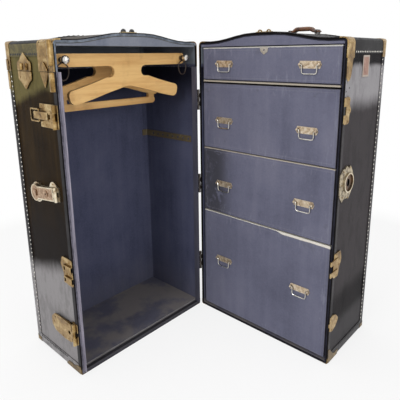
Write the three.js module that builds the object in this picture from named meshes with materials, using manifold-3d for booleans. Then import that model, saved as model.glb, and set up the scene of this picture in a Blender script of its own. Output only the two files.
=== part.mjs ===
// A wardrobe trunk standing open at a right angle: a hanging half with a peaked lid, rails and
// hangers, and a drawer half with four drawers, joined by three knuckled hinges. Millimetres, Z up.
import * as THREE from "three";
import { mergeVertices } from "three/addons/utils/BufferGeometryUtils.js";
import Module from "manifold-3d";

const wasm = await Module();
wasm.setup();

// Case
const width = 555; // across the opening of each half
const depth = 290; // from the opening edge to the back of each half
const shoulderHeight = 1036;
const ridgeRise = 22.5;
const shoulderRun = 55;
const ridgeFlat = 80;
const wall = 10;
const cornerRadius = 16;
const edgeRadius = 14;
const footRadius = 8;
const lidHeight = 86; // from the seam of the lid to the shoulders
const seamHeight = shoulderHeight - lidHeight;
const floorHeight = 22; // top of the board in the bottom of the hanging half
const gap = 0.3; // left between pieces that touch
const halfSeam = 0.5; // from the hinge pin to each opening edge
const pinOffset = 6; // from the hinge side of each half to the pin
const overrun = 5; // by which a cut passes the face that it leaves
const weld = 1e-4;

// Fibre binding
const bindingThickness = 2;
const bindingWidth = 35;
const topBindingWidth = 45;
const frontBindingWidth = 14;
const capThickness = 1.2;
const footCapDepth = 72;
const footCapHeight = 20;
const topCapDepth = 44;
const topCapHeight = 56;
const capShare = 0.74; // of the binding's width
const capAcross = capShare * bindingWidth;
const lidCapDepth = 82;

// Closing tongue round the hanging half
const tongueThickness = 4;
const tongueReach = 10;
const tongueSeat = 13;

// Case hinges
const pinRadius = 2;
const knuckleRadius = 4.5;
const leafThickness = 2;
const leafWidth = 30;
const hingeLength = 74;
const hingeShares = { upper: 0.803, middle: 0.495, lower: 0.186 };

// Lid hinges, at the back corners
const lidAxisRoom = 0.5;
const lidAxisOffset = knuckleRadius + lidAxisRoom;
const lidLeafHeight = 34;
const lidHingeLength = 40;
const lidLeafLap = 5; // over the binding of the back edges
const lidHingeInset = bindingWidth - lidLeafLap + lidHingeLength / 2;

// Rails with knobs, and the wire loops behind the knobs
const railInset = 43;
const railDrop = 55; // from the shoulders to the rails
const railHeight = shoulderHeight - railDrop;
const railRadius = 5;
const knobRadius = 13;
const knobSetback = 14;
const bracketWidth = 26;
const bracketDrop = 88;
const bracketRise = 18;
const bracketThickness = 3;
const loopHalfWidth = 19;
const loopDrop = 59;
const loopWire = 2;
const loopRoom = 2; // between knob and loop
const loopSetback = knobSetback + knobRadius + loopRoom + loopWire;

// Hangers
const hangerThickness = 12;
const hangerEndRoom = 28; // from each end of a hanger to the outside of the case
const hangerRise = 17; // above the rails
const hangerHeight = 149;
const hangerHalfSpan = width / 2 - hangerEndRoom;
const hangerTop = railHeight + hangerRise;
const hangerBottom = hangerTop - hangerHeight;
const hangerSetbacks = { hanger_front: 46, hanger_trouser: 147 };
const railClearance = 1;
const trouserBarDrop = 5;
const trouserBarHeight = 23;
const trouserBarShare = 0.7856; // of the hanger's half span
const trouserBarTop = hangerBottom - trouserBarDrop;
const trouserBarBottom = trouserBarTop - trouserBarHeight;
const trouserBarHalf = trouserBarShare * hangerHalfSpan;
const trouserLinkWidth = 26;

// Ratchet strip on the hinge wall
const ratchetShare = 0.66; // of the shoulder height
const ratchetWidth = 24;
const ratchetThickness = 2;
const ratchetStart = 24;
const ratchetFoot = 24; // the end that turns onto the back wall
const ratchetHole = 5;
const ratchetHoles = 8;

// Hardware on the lock sides: outlines run from the opening edge into the half, then up.
// Each group's height is a share of the shoulder height.
const plateThickness = 2;
const plateCorner = 2;
const smallCorner = 1.2;
const armStand = 4.5;
const armThickness = 8;
const axisStand = armStand + armThickness / 2;
const rollRadius = 5;
const rollSetback = 10;

const upperBoltShare = 0.7987;
const upperBoltHeight = upperBoltShare * shoulderHeight;
const upperBoltLength = 96;
const upperBoltWidth = 67;
const barrelStart = 38;
const barrelEnd = 116;
const barrelWidth = 23;
const wireStart = 92;
const wireReach = 23; // from the barrel to the end of the loop
const wireEnd = barrelEnd + wireReach;
const wireHalfHeight = 19.5;
const wireRadius = 2;
const strapHalfHeight = 15;
const slotHalfHeight = 7;
const slotLength = 12;

const lowerBoltShare = 0.1419;
const lowerBoltHeight = lowerBoltShare * shoulderHeight;
const lowerBoltLength = 139;
const lowerBoltWidth = 74;
const lowerBoltHole = 7;
const lowerHoleSetback = 33;
const lowerPinHole = 3;
const lowerPinHoleShares = { along: 0.84, up: 0.27 };

const lockShare = 0.5618;
const lockHeight = lockShare * shoulderHeight;
const lockStart = 32;
const lockRoundSetback = 163;
const lockRoundRadius = 32;
const lockBodyHeight = 43;
const lockLobeSetback = 60;
const lockLobeRise = 16; // above the lock's middle line
const lockLobeRadius = 22;
const haspRoundRadius = 27;
const haspRollSetback = 42;
const bossSize = 28;
const bossHeight = 3;
const keyBossRadius = 11;
const keyBossSetback = 96;
const keyRadius = 3;

const socketShare = 0.3369;
const socketHeight = socketShare * shoulderHeight;
const socketLength = 62;
const socketWidth = 90;
const lugPlateLength = 48;
const lugPitch = 38;
const lugWidth = 15;
const lugReach = 24;
const lugThickness = 3;
const lugStand = 1.6;
const lugClearance = 1;
const pocketDepth = 31;
const pocketSkin = 1.8;
const windowLength = 9;
const windowHeight = 12;
const windowLap = 2; // of each window over its pocket

const notchLength = 44;
const notchWidth = 25;
const notchDepth = 11;
const notchPlateWidth = 78;
const notchRise = 5; // above the middle of the upper drawbolt
const keeperRise = 28; // above the middle of the lock
const keeperLength = 92;
const keeperWidth = 112;
const keeperRing = 31;
const keeperRingShare = 0.64; // of the keeper's length, from the opening edge to the ring's middle
const keeperRingRise = 4;
const keeperHoleHalfWidth = 7.5;
const keeperHoleHalfHeight = 12;
const lowerLeafLength = 59;
const lowerLeafWidth = 58;
const lowerLugReach = 8;
const lowerLugWidth = 12;
const lowerLugThickness = 1.8;
const lowerLugStand = 0.8;
const plaqueLength = 46;
const plaqueHeight = 63;
const plaqueSetback = 111;
const plaqueDrop = 5; // below the binding of the roof
const plaqueThickness = 1.3;

// Peak plate and loops, on the opening edge of the roof
const peakSetback = 7;
const studStart = 2.5; // from the middle towards the lock side
const studPitch = 32;
const studRadius = 5;
const studHeight = 9;
const peakPlateThickness = 1.6;
const peakPlateMargin = 12;
const peakLoopStart = 20.5; // from the middle towards the hinges
const peakLoopPitch = 33;
const peakLoopRadius = 7;
const peakLoopWire = 1.8;

// Drawers and the frame that carries them
const drawerFace = 3; // from the opening edge to the front of each drawer
const frontThickness = 9;
const drawerBackRoom = 8; // behind each drawer
const drawerHingeSide = 18; // room for the tongue as it swings in
const drawerLockSide = 15.5;
const drawerWall = 5;
const drawerFloor = 4;
const drawerTopDrop = 12;
const gableDrop = 18; // from the shoulders to the foot of the gable boards
const gableFoot = shoulderHeight - gableDrop;
const stackRoom = 3; // over the top drawer
const stackBottom = 19;
const stackTop = gableFoot - stackRoom;
const drawerShares = [
  { name: "drawer_bottom", foot: 0, head: 0.3956, pull: 0.2129 },
  { name: "drawer_low", foot: 0.4006, head: 0.6421, pull: 0.514 },
  { name: "drawer_middle", foot: 0.6451, head: 0.8775, pull: 0.749 },
  { name: "drawer_top", foot: 0.8926, head: 1, pull: 0.945 },
];
const dividerThickness = 3;
const topDividerThickness = 6;
const gableThickness = 8;
const gableSetback = 1;

// Drawer pulls
const pullShares = { left: 0.2063, right: 0.7937 }; // of the width, from the hinge side
const pullWidth = 76;
const pullHeight = 22;
const pullThickness = 1.4;
const pullTaper = 5;
const earWidth = 5;
const earRadius = 4;
const earSpread = 32;
const earStand = 5.4;
const pinClearance = 0.4;
const bailWire = 1.9;
const bailRoom = 2.6; // between each leg of a bail and its ear
const bailHalfWidth = earSpread - earWidth / 2 - bailWire - bailRoom;
const bailDrop = 27;
const bailBend = 8;
const escutcheonWidth = 32;
const escutcheonHeight = 24;
const escutcheonWaist = 0.8; // share of its half width
const escutcheonShare = 0.987; // of the stack of drawers

// Leather handle on the roof of the drawer half
const handleInset = 45; // from the back to the middle of the handle
const handleSetback = depth - handleInset;
const handleHalf = 52;
const strapWidth = 25;
const strapThickness = 6;
const strapRise = 13;
const strapTail = 9;
const strapStand = 4;
const postWall = 3.5;
const postLength = 5;

const lockProud = armStand + armThickness + bossHeight;

const filletSteps = 3;
const roundSides = 10;
const eyeSides = 8;
const wireSides = 6;
const lockSides = 20;
const ringSides = 20;
const crownSteps = 5;

// Outlines

// A closed outline from corners [x, y, radius], each with an arc of its radius.
function outline(corners) {
  const shape = new THREE.Shape();
  corners.forEach(([x, y, radius = 0], index) => {
    const here = new THREE.Vector2(x, y);
    const [lastX, lastY] = corners.at(index - 1);
    const [nextX, nextY] = corners[(index + 1) % corners.length];
    const before = new THREE.Vector2(lastX, lastY).sub(here);
    const after = new THREE.Vector2(nextX, nextY).sub(here);
    const half = Math.abs(before.angleTo(after)) / 2;
    const room = Math.min(before.length(), after.length()) / 2;
    const reach = Math.min(radius / Math.tan(half), room);
    if (reach <= weld) {
      if (index) shape.lineTo(x, y);
      else shape.moveTo(x, y);
      return;
    }
    const arc = reach * Math.tan(half);
    const start = before.clone().setLength(reach).add(here);
    const end = after.clone().setLength(reach).add(here);
    const inwards = before.normalize().add(after.normalize());
    const middle = inwards.setLength(arc / Math.sin(half)).add(here);
    const from = start.clone().sub(middle).angle();
    const to = end.clone().sub(middle).angle();
    const turn = THREE.MathUtils.euclideanModulo(to - from, 2 * Math.PI);
    if (index) shape.lineTo(start.x, start.y);
    else shape.moveTo(start.x, start.y);
    shape.absarc(middle.x, middle.y, arc, from, to, turn > Math.PI);
  });
  shape.closePath();
  return shape;
}

function rectangle(left, bottom, right, top, radius = 0) {
  return outline([
    [left, bottom, radius], [right, bottom, radius], [right, top, radius], [left, top, radius],
  ]);
}

function disc(x, y, radius, sides = roundSides) {
  const points = [];
  for (let index = 0; index < sides; index += 1) {
    const angle = (2 * Math.PI * (index + 0.5)) / sides;
    points.push(new THREE.Vector2(x + radius * Math.cos(angle), y + radius * Math.sin(angle)));
  }
  return new THREE.Shape(points);
}

// An outline in shares of a plate's length and height, from its start and about its middle.
function plateOutline(shares, length, height, middle, start = 0) {
  return outline(shares.map(([along, up, radius = 0]) => [
    start + along * (length - start), middle + up * height, radius * height,
  ]));
}

// Solids

function solid(geometry) {
  const bare = geometry.index ? geometry.toNonIndexed() : geometry.clone();
  bare.deleteAttribute("normal");
  bare.deleteAttribute("uv");
  const merged = mergeVertices(bare, weld);
  return new wasm.Manifold(new wasm.Mesh({
    numProp: 3,
    vertProperties: merged.attributes.position.array,
    triVerts: new Uint32Array(merged.index.array),
  }));
}

function join(...solids) {
  return solids.reduce((whole, next) => whole.add(next));
}

function cut(whole, ...tools) {
  return tools.reduce((rest, tool) => rest.subtract(tool), whole);
}

function meet(...solids) {
  return solids.reduce((whole, next) => whole.intersect(next));
}

function extruded(shape, length, matrix) {
  const geometry = new THREE.ExtrudeGeometry(shape, {
    depth: length, bevelEnabled: false, curveSegments: filletSteps / 2,
  });
  return solid(geometry.applyMatrix4(matrix));
}

const unitX = new THREE.Vector3(1, 0, 0);
const unitY = new THREE.Vector3(0, 1, 0);
const unitZ = new THREE.Vector3(0, 0, 1);

// The outline's two values become Y and Z.
function alongX(shape, start, end) {
  const matrix = new THREE.Matrix4().makeBasis(unitY, unitZ, unitX).setPosition(start, 0, 0);
  return extruded(shape, end - start, matrix);
}

// The outline's two values become X and Z.
function alongY(shape, start, end) {
  const back = unitY.clone().negate();
  const matrix = new THREE.Matrix4().makeBasis(unitX, unitZ, back).setPosition(0, end, 0);
  return extruded(shape, end - start, matrix);
}

function alongZ(shape, start, end) {
  return extruded(shape, end - start, new THREE.Matrix4().setPosition(0, 0, start));
}

function block(left, right, front, back, bottom, top) {
  return alongZ(rectangle(left, front, right, back), bottom, top);
}

// A round wire along a curve.
function wire(points, radius, steps) {
  const path = new THREE.CatmullRomCurve3(points, false, "centripetal");
  const geometry = new THREE.ExtrudeGeometry(disc(0, 0, radius, wireSides), {
    extrudePath: path, steps, bevelEnabled: false,
  });
  return solid(geometry);
}

// Finishes
const finishes = {
  case: { color: 0x17161a, roughness: 0.35, metalness: 0 },
  binding: { color: 0x101012, roughness: 0.3, metalness: 0 },
  tongue: { color: 0x9a96a4, roughness: 0.35, metalness: 0.8 },
  brass: { color: 0xb89a62, roughness: 0.4, metalness: 0.9 },
  nickel: { color: 0xc8c6c2, roughness: 0.25, metalness: 0.9 },
  hangerWood: { color: 0xcfa062, roughness: 0.5, metalness: 0 },
  lining: { color: 0x4a4d66, roughness: 0.8, metalness: 0 },
  drawerWood: { color: 0x6b6e84, roughness: 0.75, metalness: 0 },
  leather: { color: 0x6a4330, roughness: 0.6, metalness: 0 },
  stud: { color: 0x1a1a1c, roughness: 0.5, metalness: 0.3 },
};

function mesh(name, shape, finish) {
  const made = shape.getMesh();
  const geometry = new THREE.BufferGeometry();
  geometry.setAttribute("position", new THREE.BufferAttribute(made.vertProperties, made.numProp));
  geometry.setIndex(new THREE.BufferAttribute(made.triVerts, 1));
  geometry.computeVertexNormals();
  const part = new THREE.Mesh(geometry, new THREE.MeshStandardMaterial(finishes[finish]));
  part.name = name;
  return part;
}

// Case forms, in the frame of a half: X across the opening, Y from the opening into the half

function roofAt(x) {
  const run = width / 2 - ridgeFlat / 2 - shoulderRun;
  const climbed = THREE.MathUtils.clamp((Math.min(x, width - x) - shoulderRun) / run, 0, 1);
  return shoulderHeight + (ridgeRise * (1 - Math.cos(Math.PI * climbed))) / 2;
}

function frontOutline(inset, foot = inset) {
  const run = width / 2 - ridgeFlat / 2 - shoulderRun;
  const round = Math.max(edgeRadius - inset, 0);
  const under = Math.max(footRadius - inset, 0);
  const crown = [];
  for (let step = 0; step <= crownSteps; step += 1) {
    crown.push(width - shoulderRun - (run * step) / crownSteps);
  }
  for (let step = crownSteps; step >= 0; step -= 1) {
    crown.push(shoulderRun + (run * step) / crownSteps);
  }
  return outline([
    [inset, foot, under],
    [width - inset, foot, under],
    [width - inset, shoulderHeight - inset, round],
    ...crown.map((x) => [x, roofAt(x) - inset]),
    [inset, shoulderHeight - inset, round],
  ]);
}

// The case drawn in by an inset on every face but the opening, which lies at `front`.
function caseForm(inset, front, foot = inset) {
  const top = shoulderHeight + ridgeRise - inset;
  const back = depth - inset;
  const corner = Math.max(cornerRadius - inset, 0);
  const edge = Math.max(edgeRadius - inset, 0);
  const face = alongY(frontOutline(inset, foot), front, back);
  const plan = alongZ(outline([
    [inset, front], [width - inset, front], [width - inset, back, corner], [inset, back, corner],
  ]), foot, top + overrun);
  const side = alongX(outline([
    [front, foot], [back, foot, edge], [back, top, edge + ridgeRise], [front, top],
  ]), inset, width - inset);
  return meet(face, plan, side);
}

const reach = 2 * (width + depth + shoulderHeight); // beyond every face

function above(height, whole) {
  return meet(whole, block(-reach, reach, -reach, reach, height, reach));
}

function below(height, whole) {
  return meet(whole, block(-reach, reach, -reach, reach, -reach, height));
}

// The board shell of a half. It stands on a foot inside the binding of its bottom edges.
function caseShell(floor) {
  const recess = bindingThickness + gap;
  const foot = block(
    bindingWidth + gap, width - bindingWidth - gap,
    frontBindingWidth + gap, depth - bindingWidth - gap, 0, wall,
  );
  const hollow = caseForm(wall, -overrun);
  const behind = caseForm(wall, tongueSeat + gap, floor);
  const rim = below(floor + overrun, caseForm(wall, -overrun));
  const lip = meet(rim, block(0, width, -overrun, tongueSeat + gap, 0, floor + overrun));
  const inside = floor > wall ? join(above(floor, hollow), behind, lip) : hollow;
  return cut(join(caseForm(recess, 0), foot), inside);
}

function caps(footDepth, topDepth, topHeight) {
  const shell = cut(caseForm(-capThickness, 0), caseForm(bindingThickness / 2, -overrun));
  const corners = [];
  for (const left of [-overrun, width - capAcross]) {
    const right = left + capAcross + overrun;
    const backCap = depth - bindingWidth;
    const footRows = [[-overrun, footDepth], [backCap, depth + overrun]];
    const topRows = [[-overrun, topDepth], [backCap, depth + overrun]];
    for (const [front, back] of footRows) {
      corners.push(block(left, right, front, back, gap, footCapHeight));
    }
    for (const [front, back] of topRows) {
      const foot = shoulderHeight - topHeight;
      corners.push(block(left, right, front, back, foot, shoulderHeight + overrun));
    }
  }
  return meet(shell, join(...corners));
}

// The fibre binding along the edges of a half, with a cap over each corner.
function caseBinding(topDepth, topHeight) {
  const top = shoulderHeight - topBindingWidth;
  const back = depth - bindingWidth;
  const far = width - bindingWidth;
  const roof = shoulderHeight + ridgeRise + overrun;
  const skin = cut(caseForm(0, 0), caseForm(bindingThickness, -overrun));
  const side = rectangle(frontBindingWidth, bindingWidth, back, top);
  const sides = alongX(side, -overrun, width + overrun);
  const behind = alongY(rectangle(bindingWidth, bindingWidth, far, top), depth / 2, depth + overrun);
  const ends = block(bindingWidth, far, frontBindingWidth, back, -overrun, roof);
  const strips = cut(skin, sides, behind, ends);
  return above(gap, join(strips, caps(footCapDepth, topDepth, topHeight)));
}

// Case hinges

// Turned knuckles along a pin, each [start, end] in shares of the length.
function knuckles(places, axis, length, start) {
  return places.map(([from, to]) => {
    const foot = start + from * length + gap / 2;
    const head = start + to * length - gap / 2;
    return { foot, head, solid: alongZ(disc(...axis, knuckleRadius, eyeSides), foot, head) };
  });
}

const knuckleShares = { fixed: [[0, 0.2], [0.4, 0.6], [0.8, 1]], moving: [[0.2, 0.4], [0.6, 0.8]] };

function caseHingeLeaf(share, kind) {
  const fixed = kind === "fixed";
  const start = share * shoulderHeight - hingeLength / 2;
  const axis = [fixed ? width + pinOffset : -pinOffset, -halfSeam];
  const near = fixed ? width + gap : -gap - leafThickness;
  const far = near + leafThickness;
  const clear = knuckleRadius + gap - halfSeam;
  const rolls = knuckles(knuckleShares[kind], axis, hingeLength, start);
  const plate = alongX(
    rectangle(clear, start, leafWidth, start + hingeLength, leafThickness), near, far,
  );
  const inner = fixed ? near : axis[0];
  const outer = fixed ? axis[0] : far;
  const tabs = rolls.map(({ foot, head }) => block(near, far, -halfSeam, clear + overrun, foot, head));
  const webs = rolls.map(({ foot, head }) => block(inner, outer, -halfSeam, clear - gap, foot, head));
  const whole = join(plate, ...tabs, ...webs, ...rolls.map((roll) => roll.solid));
  const end = start + hingeLength;
  if (fixed) return join(whole, alongZ(disc(...axis, pinRadius, eyeSides), start, end));
  return cut(whole, alongZ(disc(...axis, pinRadius + gap, eyeSides), start - overrun, end + overrun));
}

// Lid hinges

const lidKnuckleShares = { hanging: [[0, 0.3], [0.7, 1]], lid: [[0.3, 0.7]] };

function lidLeaves(kind) {
  const axisY = depth + lidAxisOffset;
  const rises = kind === "lid";
  return [lidHingeInset, width - lidHingeInset].map((middle) => {
    const start = middle - lidHingeLength / 2;
    const foot = rises ? seamHeight + lidAxisOffset : seamHeight - lidLeafHeight;
    const head = rises ? seamHeight + lidLeafHeight : seamHeight - lidAxisOffset;
    const leaf = block(
      start, start + lidHingeLength, depth - bindingThickness / 2, depth + leafThickness, foot, head,
    );
    const rolls = lidKnuckleShares[kind].map(([from, to]) => {
      const left = start + from * lidHingeLength + gap / 2;
      const right = start + to * lidHingeLength - gap / 2;
      const barrel = alongX(disc(axisY, seamHeight, knuckleRadius, eyeSides), left, right);
      const web = rises
        ? block(left, right, depth + gap, axisY, seamHeight, foot + overrun)
        : block(left, right, depth + gap, axisY, head - overrun, seamHeight);
      const hole = disc(axisY, seamHeight, pinRadius + gap, eyeSides);
      const knuckle = join(barrel, web);
      return rises ? cut(knuckle, alongX(hole, left - overrun, right + overrun)) : knuckle;
    });
    const round = disc(axisY, seamHeight, pinRadius, eyeSides);
    const pin = alongX(round, start + gap, start + lidHingeLength - gap);
    return rises ? join(leaf, ...rolls) : join(leaf, ...rolls, pin);
  });
}

// Gable board inside the peak of a half, seen above the opening

function gableBoard(inset) {
  const board = alongY(frontOutline(inset), gableSetback, gableSetback + gableThickness);
  return above(gableFoot, board);
}

// Hanging half

function hangingShell() {
  return below(seamHeight - gap / 2, caseShell(floorHeight));
}

function lidShell() {
  const shell = above(seamHeight + gap / 2, caseShell(wall));
  return join(shell, gableBoard(wall - gap));
}

function hangingBinding() {
  const whole = caseBinding(lidCapDepth, shoulderHeight - seamHeight);
  return join(below(seamHeight - gap / 2, whole), ...lidLeaves("hanging"));
}

function lidBinding() {
  const whole = caseBinding(lidCapDepth, shoulderHeight - seamHeight);
  return join(above(seamHeight + gap / 2, whole), ...lidLeaves("lid"));
}

// The tongue stands out of the opening at both sides and is flush with it along the bottom.
function tongue() {
  const left = wall + gap;
  const inner = left + tongueThickness;
  const head = seamHeight - 2 * gap;
  const whole = alongY(outline([
    [left, left], [width - left, left], [width - left, head], [width - inner, head],
    [width - inner, inner], [inner, inner], [inner, head], [left, head],
  ]), -tongueReach, tongueSeat);
  return cut(whole, block(inner, width - inner, -reach, 0, 0, inner + overrun));
}

function rail(x) {
  const back = depth - wall - gap;
  const rod = alongY(disc(x, railHeight, railRadius), knobSetback, back - gap);
  const half = bracketWidth / 2;
  const flange = alongY(rectangle(
    x - half, railHeight - bracketDrop, x + half, railHeight + bracketRise, plateCorner,
  ), back - bracketThickness, back);
  const profile = [];
  const knobSteps = 6;
  for (let step = 0; step <= knobSteps; step += 1) {
    const angle = (Math.PI * step) / knobSteps - Math.PI / 2;
    profile.push(new THREE.Vector2(knobRadius * Math.cos(angle), knobRadius * Math.sin(angle)));
  }
  profile[0].x = 0;
  profile[knobSteps].x = 0;
  const ball = new THREE.LatheGeometry(profile, roundSides).translate(x, knobSetback, railHeight);
  return join(rod, flange, solid(ball));
}

const loopSteps = 7;

function railLoop(x) {
  const half = loopHalfWidth - loopWire;
  const foot = railHeight - loopDrop + loopWire;
  const eye = railRadius + gap + 2 * loopWire;
  const ring = cut(
    alongY(disc(x, railHeight, eye), loopSetback - loopWire, loopSetback + loopWire),
    alongY(disc(x, railHeight, railRadius + gap), 0, depth),
  );
  const head = railHeight - eye - loopWire;
  const path = [
    [0, railHeight - eye + loopWire], [-half / 2, head], [-half, head - half / 2], [-half, foot + half],
    [-half / 2, foot + half / 6], [0, foot], [half / 2, foot + half / 6], [half, foot + half],
    [half, head - half / 2], [half / 2, head], [0, railHeight - eye + loopWire],
  ];
  const left = path.slice(0, 6).map(([across, up]) => new THREE.Vector3(x + across, loopSetback, up));
  const right = path.slice(5).map(([across, up]) => new THREE.Vector3(x + across, loopSetback, up));
  return join(ring, wire(left, loopWire, loopSteps), wire(right, loopWire, loopSteps));
}

// Half outline of a hanger: [share of half span, share of height, fillet share of height]
const hangerShares = [
  [1, 1, 0.05], [1, 0.765, 0.05], [0.89, 0.748, 0.1], [0.213, 0.748, 0.115], [0.213, 0.52, 0.115],
  [0.337, 0.52, 0.1], [0.52, 0.425, 0.1], [0.76, 0.32, 0.2], [0.875, 0.28, 0.15], [0.84, -0.01, 0.12],
  [0.57, 0.09, 0.2], [0.33, 0.2, 0.3],
];
const hangerApexShares = { up: 0.33, radius: 0.4 };
const trouserLinkShare = 0.2; // of the hanger's height, up into the board

function hanger(name) {
  const middle = width / 2;
  const right = hangerShares.map(([across, up, radius]) => [
    middle + across * hangerHalfSpan, hangerBottom + up * hangerHeight, radius * hangerHeight,
  ]);
  const left = right.map(([x, z, radius]) => [2 * middle - x, z, radius]).reverse();
  const { up, radius } = hangerApexShares;
  const apex = [middle, hangerBottom + up * hangerHeight, radius * hangerHeight];
  const front = hangerSetbacks[name] - hangerThickness / 2;
  const back = front + hangerThickness;
  const board = alongY(outline([...right, apex, ...left]), front, back);
  const holes = [railInset, width - railInset].map((x) => (
    alongY(disc(x, railHeight, railRadius + railClearance), front - overrun, back + overrun)
  ));
  if (name !== "hanger_trouser") return cut(board, ...holes);
  const barRadius = (trouserBarTop - trouserBarBottom) / 2;
  const bar = alongY(rectangle(
    middle - trouserBarHalf, trouserBarBottom, middle + trouserBarHalf, trouserBarTop, barRadius,
  ), front, back);
  const links = [-1, 1].map((side) => {
    const end = middle + side * (trouserBarHalf - barRadius / 3);
    const inner = end - side * trouserLinkWidth;
    const head = hangerBottom + trouserLinkShare * hangerHeight;
    return alongY(rectangle(
      Math.min(end, inner), trouserBarBottom + barRadius, Math.max(end, inner), head,
    ), front, back);
  });
  return join(cut(board, ...holes), bar, ...links);
}

function ratchetStrip() {
  const face = width - wall - gap;
  const back = depth - wall - gap;
  const inner = face - ratchetThickness;
  const middle = ratchetShare * shoulderHeight;
  const foot = middle - ratchetWidth / 2;
  const strip = alongZ(outline([
    [face, ratchetStart], [face, back, cornerRadius - wall - gap], [face - ratchetFoot, back],
    [face - ratchetFoot, back - ratchetThickness],
    [inner, back - ratchetThickness, cornerRadius - wall - gap - ratchetThickness], [inner, ratchetStart],
  ]), foot, foot + ratchetWidth);
  const pitch = (back - ratchetStart) / (ratchetHoles + 1);
  const holes = [];
  for (let index = 0; index < ratchetHoles; index += 1) {
    const y = ratchetStart + (index + 1 / 2) * pitch;
    holes.push(alongX(disc(y, middle, ratchetHole, eyeSides), inner - overrun, face + overrun));
  }
  return cut(strip, ...holes);
}

// Lock sides. Outlines run from the opening edge into the half and up; `from` and `to` lie outwards.

const lockSide = {
  hanging: (shape, from, to) => alongX(shape, -to, -from),
  drawer: (shape, from, to) => alongX(shape, width + from, width + to),
};

// Vertical rod or knuckle on the hanging half's lock side.
function lockRod(setback, stand, radius, foot, head) {
  return alongZ(disc(-stand, setback, radius), foot, head);
}

// A plate that lies on the panel and, at the opening edge, over the binding.
function seated(half, shape, top) {
  const whole = lockSide[half](shape, -bindingThickness, top);
  const edge = frontBindingWidth + gap;
  const strip = rectangle(-overrun - lugReach, 0, edge, shoulderHeight);
  return cut(whole, lockSide[half](strip, -bindingThickness - overrun, gap));
}

const plateTop = gap + plateThickness;

function fixedRolls(setback, middle, height) {
  const share = 1 / 3;
  return [-1, 1].flatMap((side) => {
    const inner = middle + (side * (share * height + gap)) / 2;
    const outer = middle + (side * height) / 2;
    const foot = Math.min(inner, outer);
    const head = Math.max(inner, outer);
    const web = rectangle(setback - rollRadius, foot, setback + rollRadius, head);
    return [
      lockRod(setback, axisStand, rollRadius, foot, head),
      lockSide.hanging(web, gap, axisStand),
    ];
  });
}

function movingRoll(setback, middle, height) {
  const share = 1 / 3;
  const reach = (share * height) / 2 - gap / 2;
  const web = rectangle(setback, middle - reach, setback + 2 * rollRadius + gap, middle + reach);
  return join(
    lockRod(setback, axisStand, rollRadius, middle - reach, middle + reach),
    lockSide.hanging(web, armStand, armStand + armThickness),
  );
}

function upperDrawboltPlate() {
  const half = upperBoltWidth / 2;
  const shape = rectangle(
    0, upperBoltHeight - half, upperBoltLength, upperBoltHeight + half, plateCorner,
  );
  const plate = seated("hanging", shape, plateTop);
  return join(plate, ...fixedRolls(rollSetback, upperBoltHeight, upperBoltWidth));
}

function upperDrawboltArm() {
  const middle = upperBoltHeight;
  const start = rollSetback + 2 * rollRadius;
  const strap = lockSide.hanging(rectangle(
    start, middle - strapHalfHeight, barrelStart + overrun, middle + strapHalfHeight, plateCorner,
  ), axisStand - plateThickness, axisStand + plateThickness);
  const slot = lockSide.hanging(rectangle(
    barrelStart - slotLength, middle - slotHalfHeight, barrelStart, middle + slotHalfHeight, smallCorner,
  ), 0, lockProud);
  const barrel = alongY(outline([
    [-armStand, middle - barrelWidth / 2, armThickness / 3],
    [-armStand - armThickness, middle - barrelWidth / 2, armThickness / 2],
    [-armStand - armThickness, middle + barrelWidth / 2, armThickness / 2],
    [-armStand, middle + barrelWidth / 2, armThickness / 3],
  ]), barrelStart, barrelEnd);
  const bore = lockRod(wireStart, axisStand, wireRadius + gap, 0, shoulderHeight);
  const body = join(movingRoll(rollSetback, middle, upperBoltWidth), cut(strap, slot), barrel);
  return cut(body, bore);
}

function upperDrawboltLoop() {
  const middle = upperBoltHeight;
  const low = middle - wireHalfHeight;
  const high = middle + wireHalfHeight;
  const near = wireStart - wireRadius;
  const frame = (inset, radius) => lockSide.hanging(
    rectangle(near + inset, low + inset, wireEnd - inset, high - inset, radius),
    axisStand - wireRadius, axisStand + wireRadius,
  );
  const inner = lockSide.hanging(rectangle(
    wireStart - overrun, low + 2 * wireRadius,
    wireEnd - 2 * wireRadius, high - 2 * wireRadius, 2 * wireRadius,
  ), 0, lockProud);
  const leg = lockRod(wireStart, axisStand, wireRadius, low + wireRadius, high - wireRadius);
  return join(cut(frame(0, 3 * wireRadius), inner), leg);
}

const lowerPlateShares = [
  [0, -0.5, 0.06], [0.18, -0.5, 0.1], [0.3, -0.36, 0.1], [0.46, -0.36, 0.15], [0.52, 0, 0.2],
  [0.46, 0.36, 0.15], [0.3, 0.36, 0.1], [0.18, 0.5, 0.1], [0, 0.5, 0.06],
];
const lowerArmShares = [
  [0, -0.42, 0.1], [0.39, -0.48, 0.15], [0.84, -0.4, 0.15], [1, -0.18, 0.2],
  [1, 0.2, 0.2], [0.84, 0.42, 0.15], [0.39, 0.46, 0.15], [0, 0.42, 0.1],
];

function lowerDrawboltPlate() {
  const shape = plateOutline(lowerPlateShares, lowerBoltLength, lowerBoltWidth, lowerBoltHeight);
  const plate = seated("hanging", shape, plateTop);
  const notch = lockSide.hanging(rectangle(
    -overrun, lowerBoltHeight - lowerLugWidth / 2 - lugClearance,
    lowerLugReach + 2 * lugClearance, lowerBoltHeight + lowerLugWidth / 2 + lugClearance,
  ), 0, lockProud);
  const rolls = fixedRolls(rollSetback, lowerBoltHeight, lowerBoltWidth);
  return join(cut(plate, notch), ...rolls);
}

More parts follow.
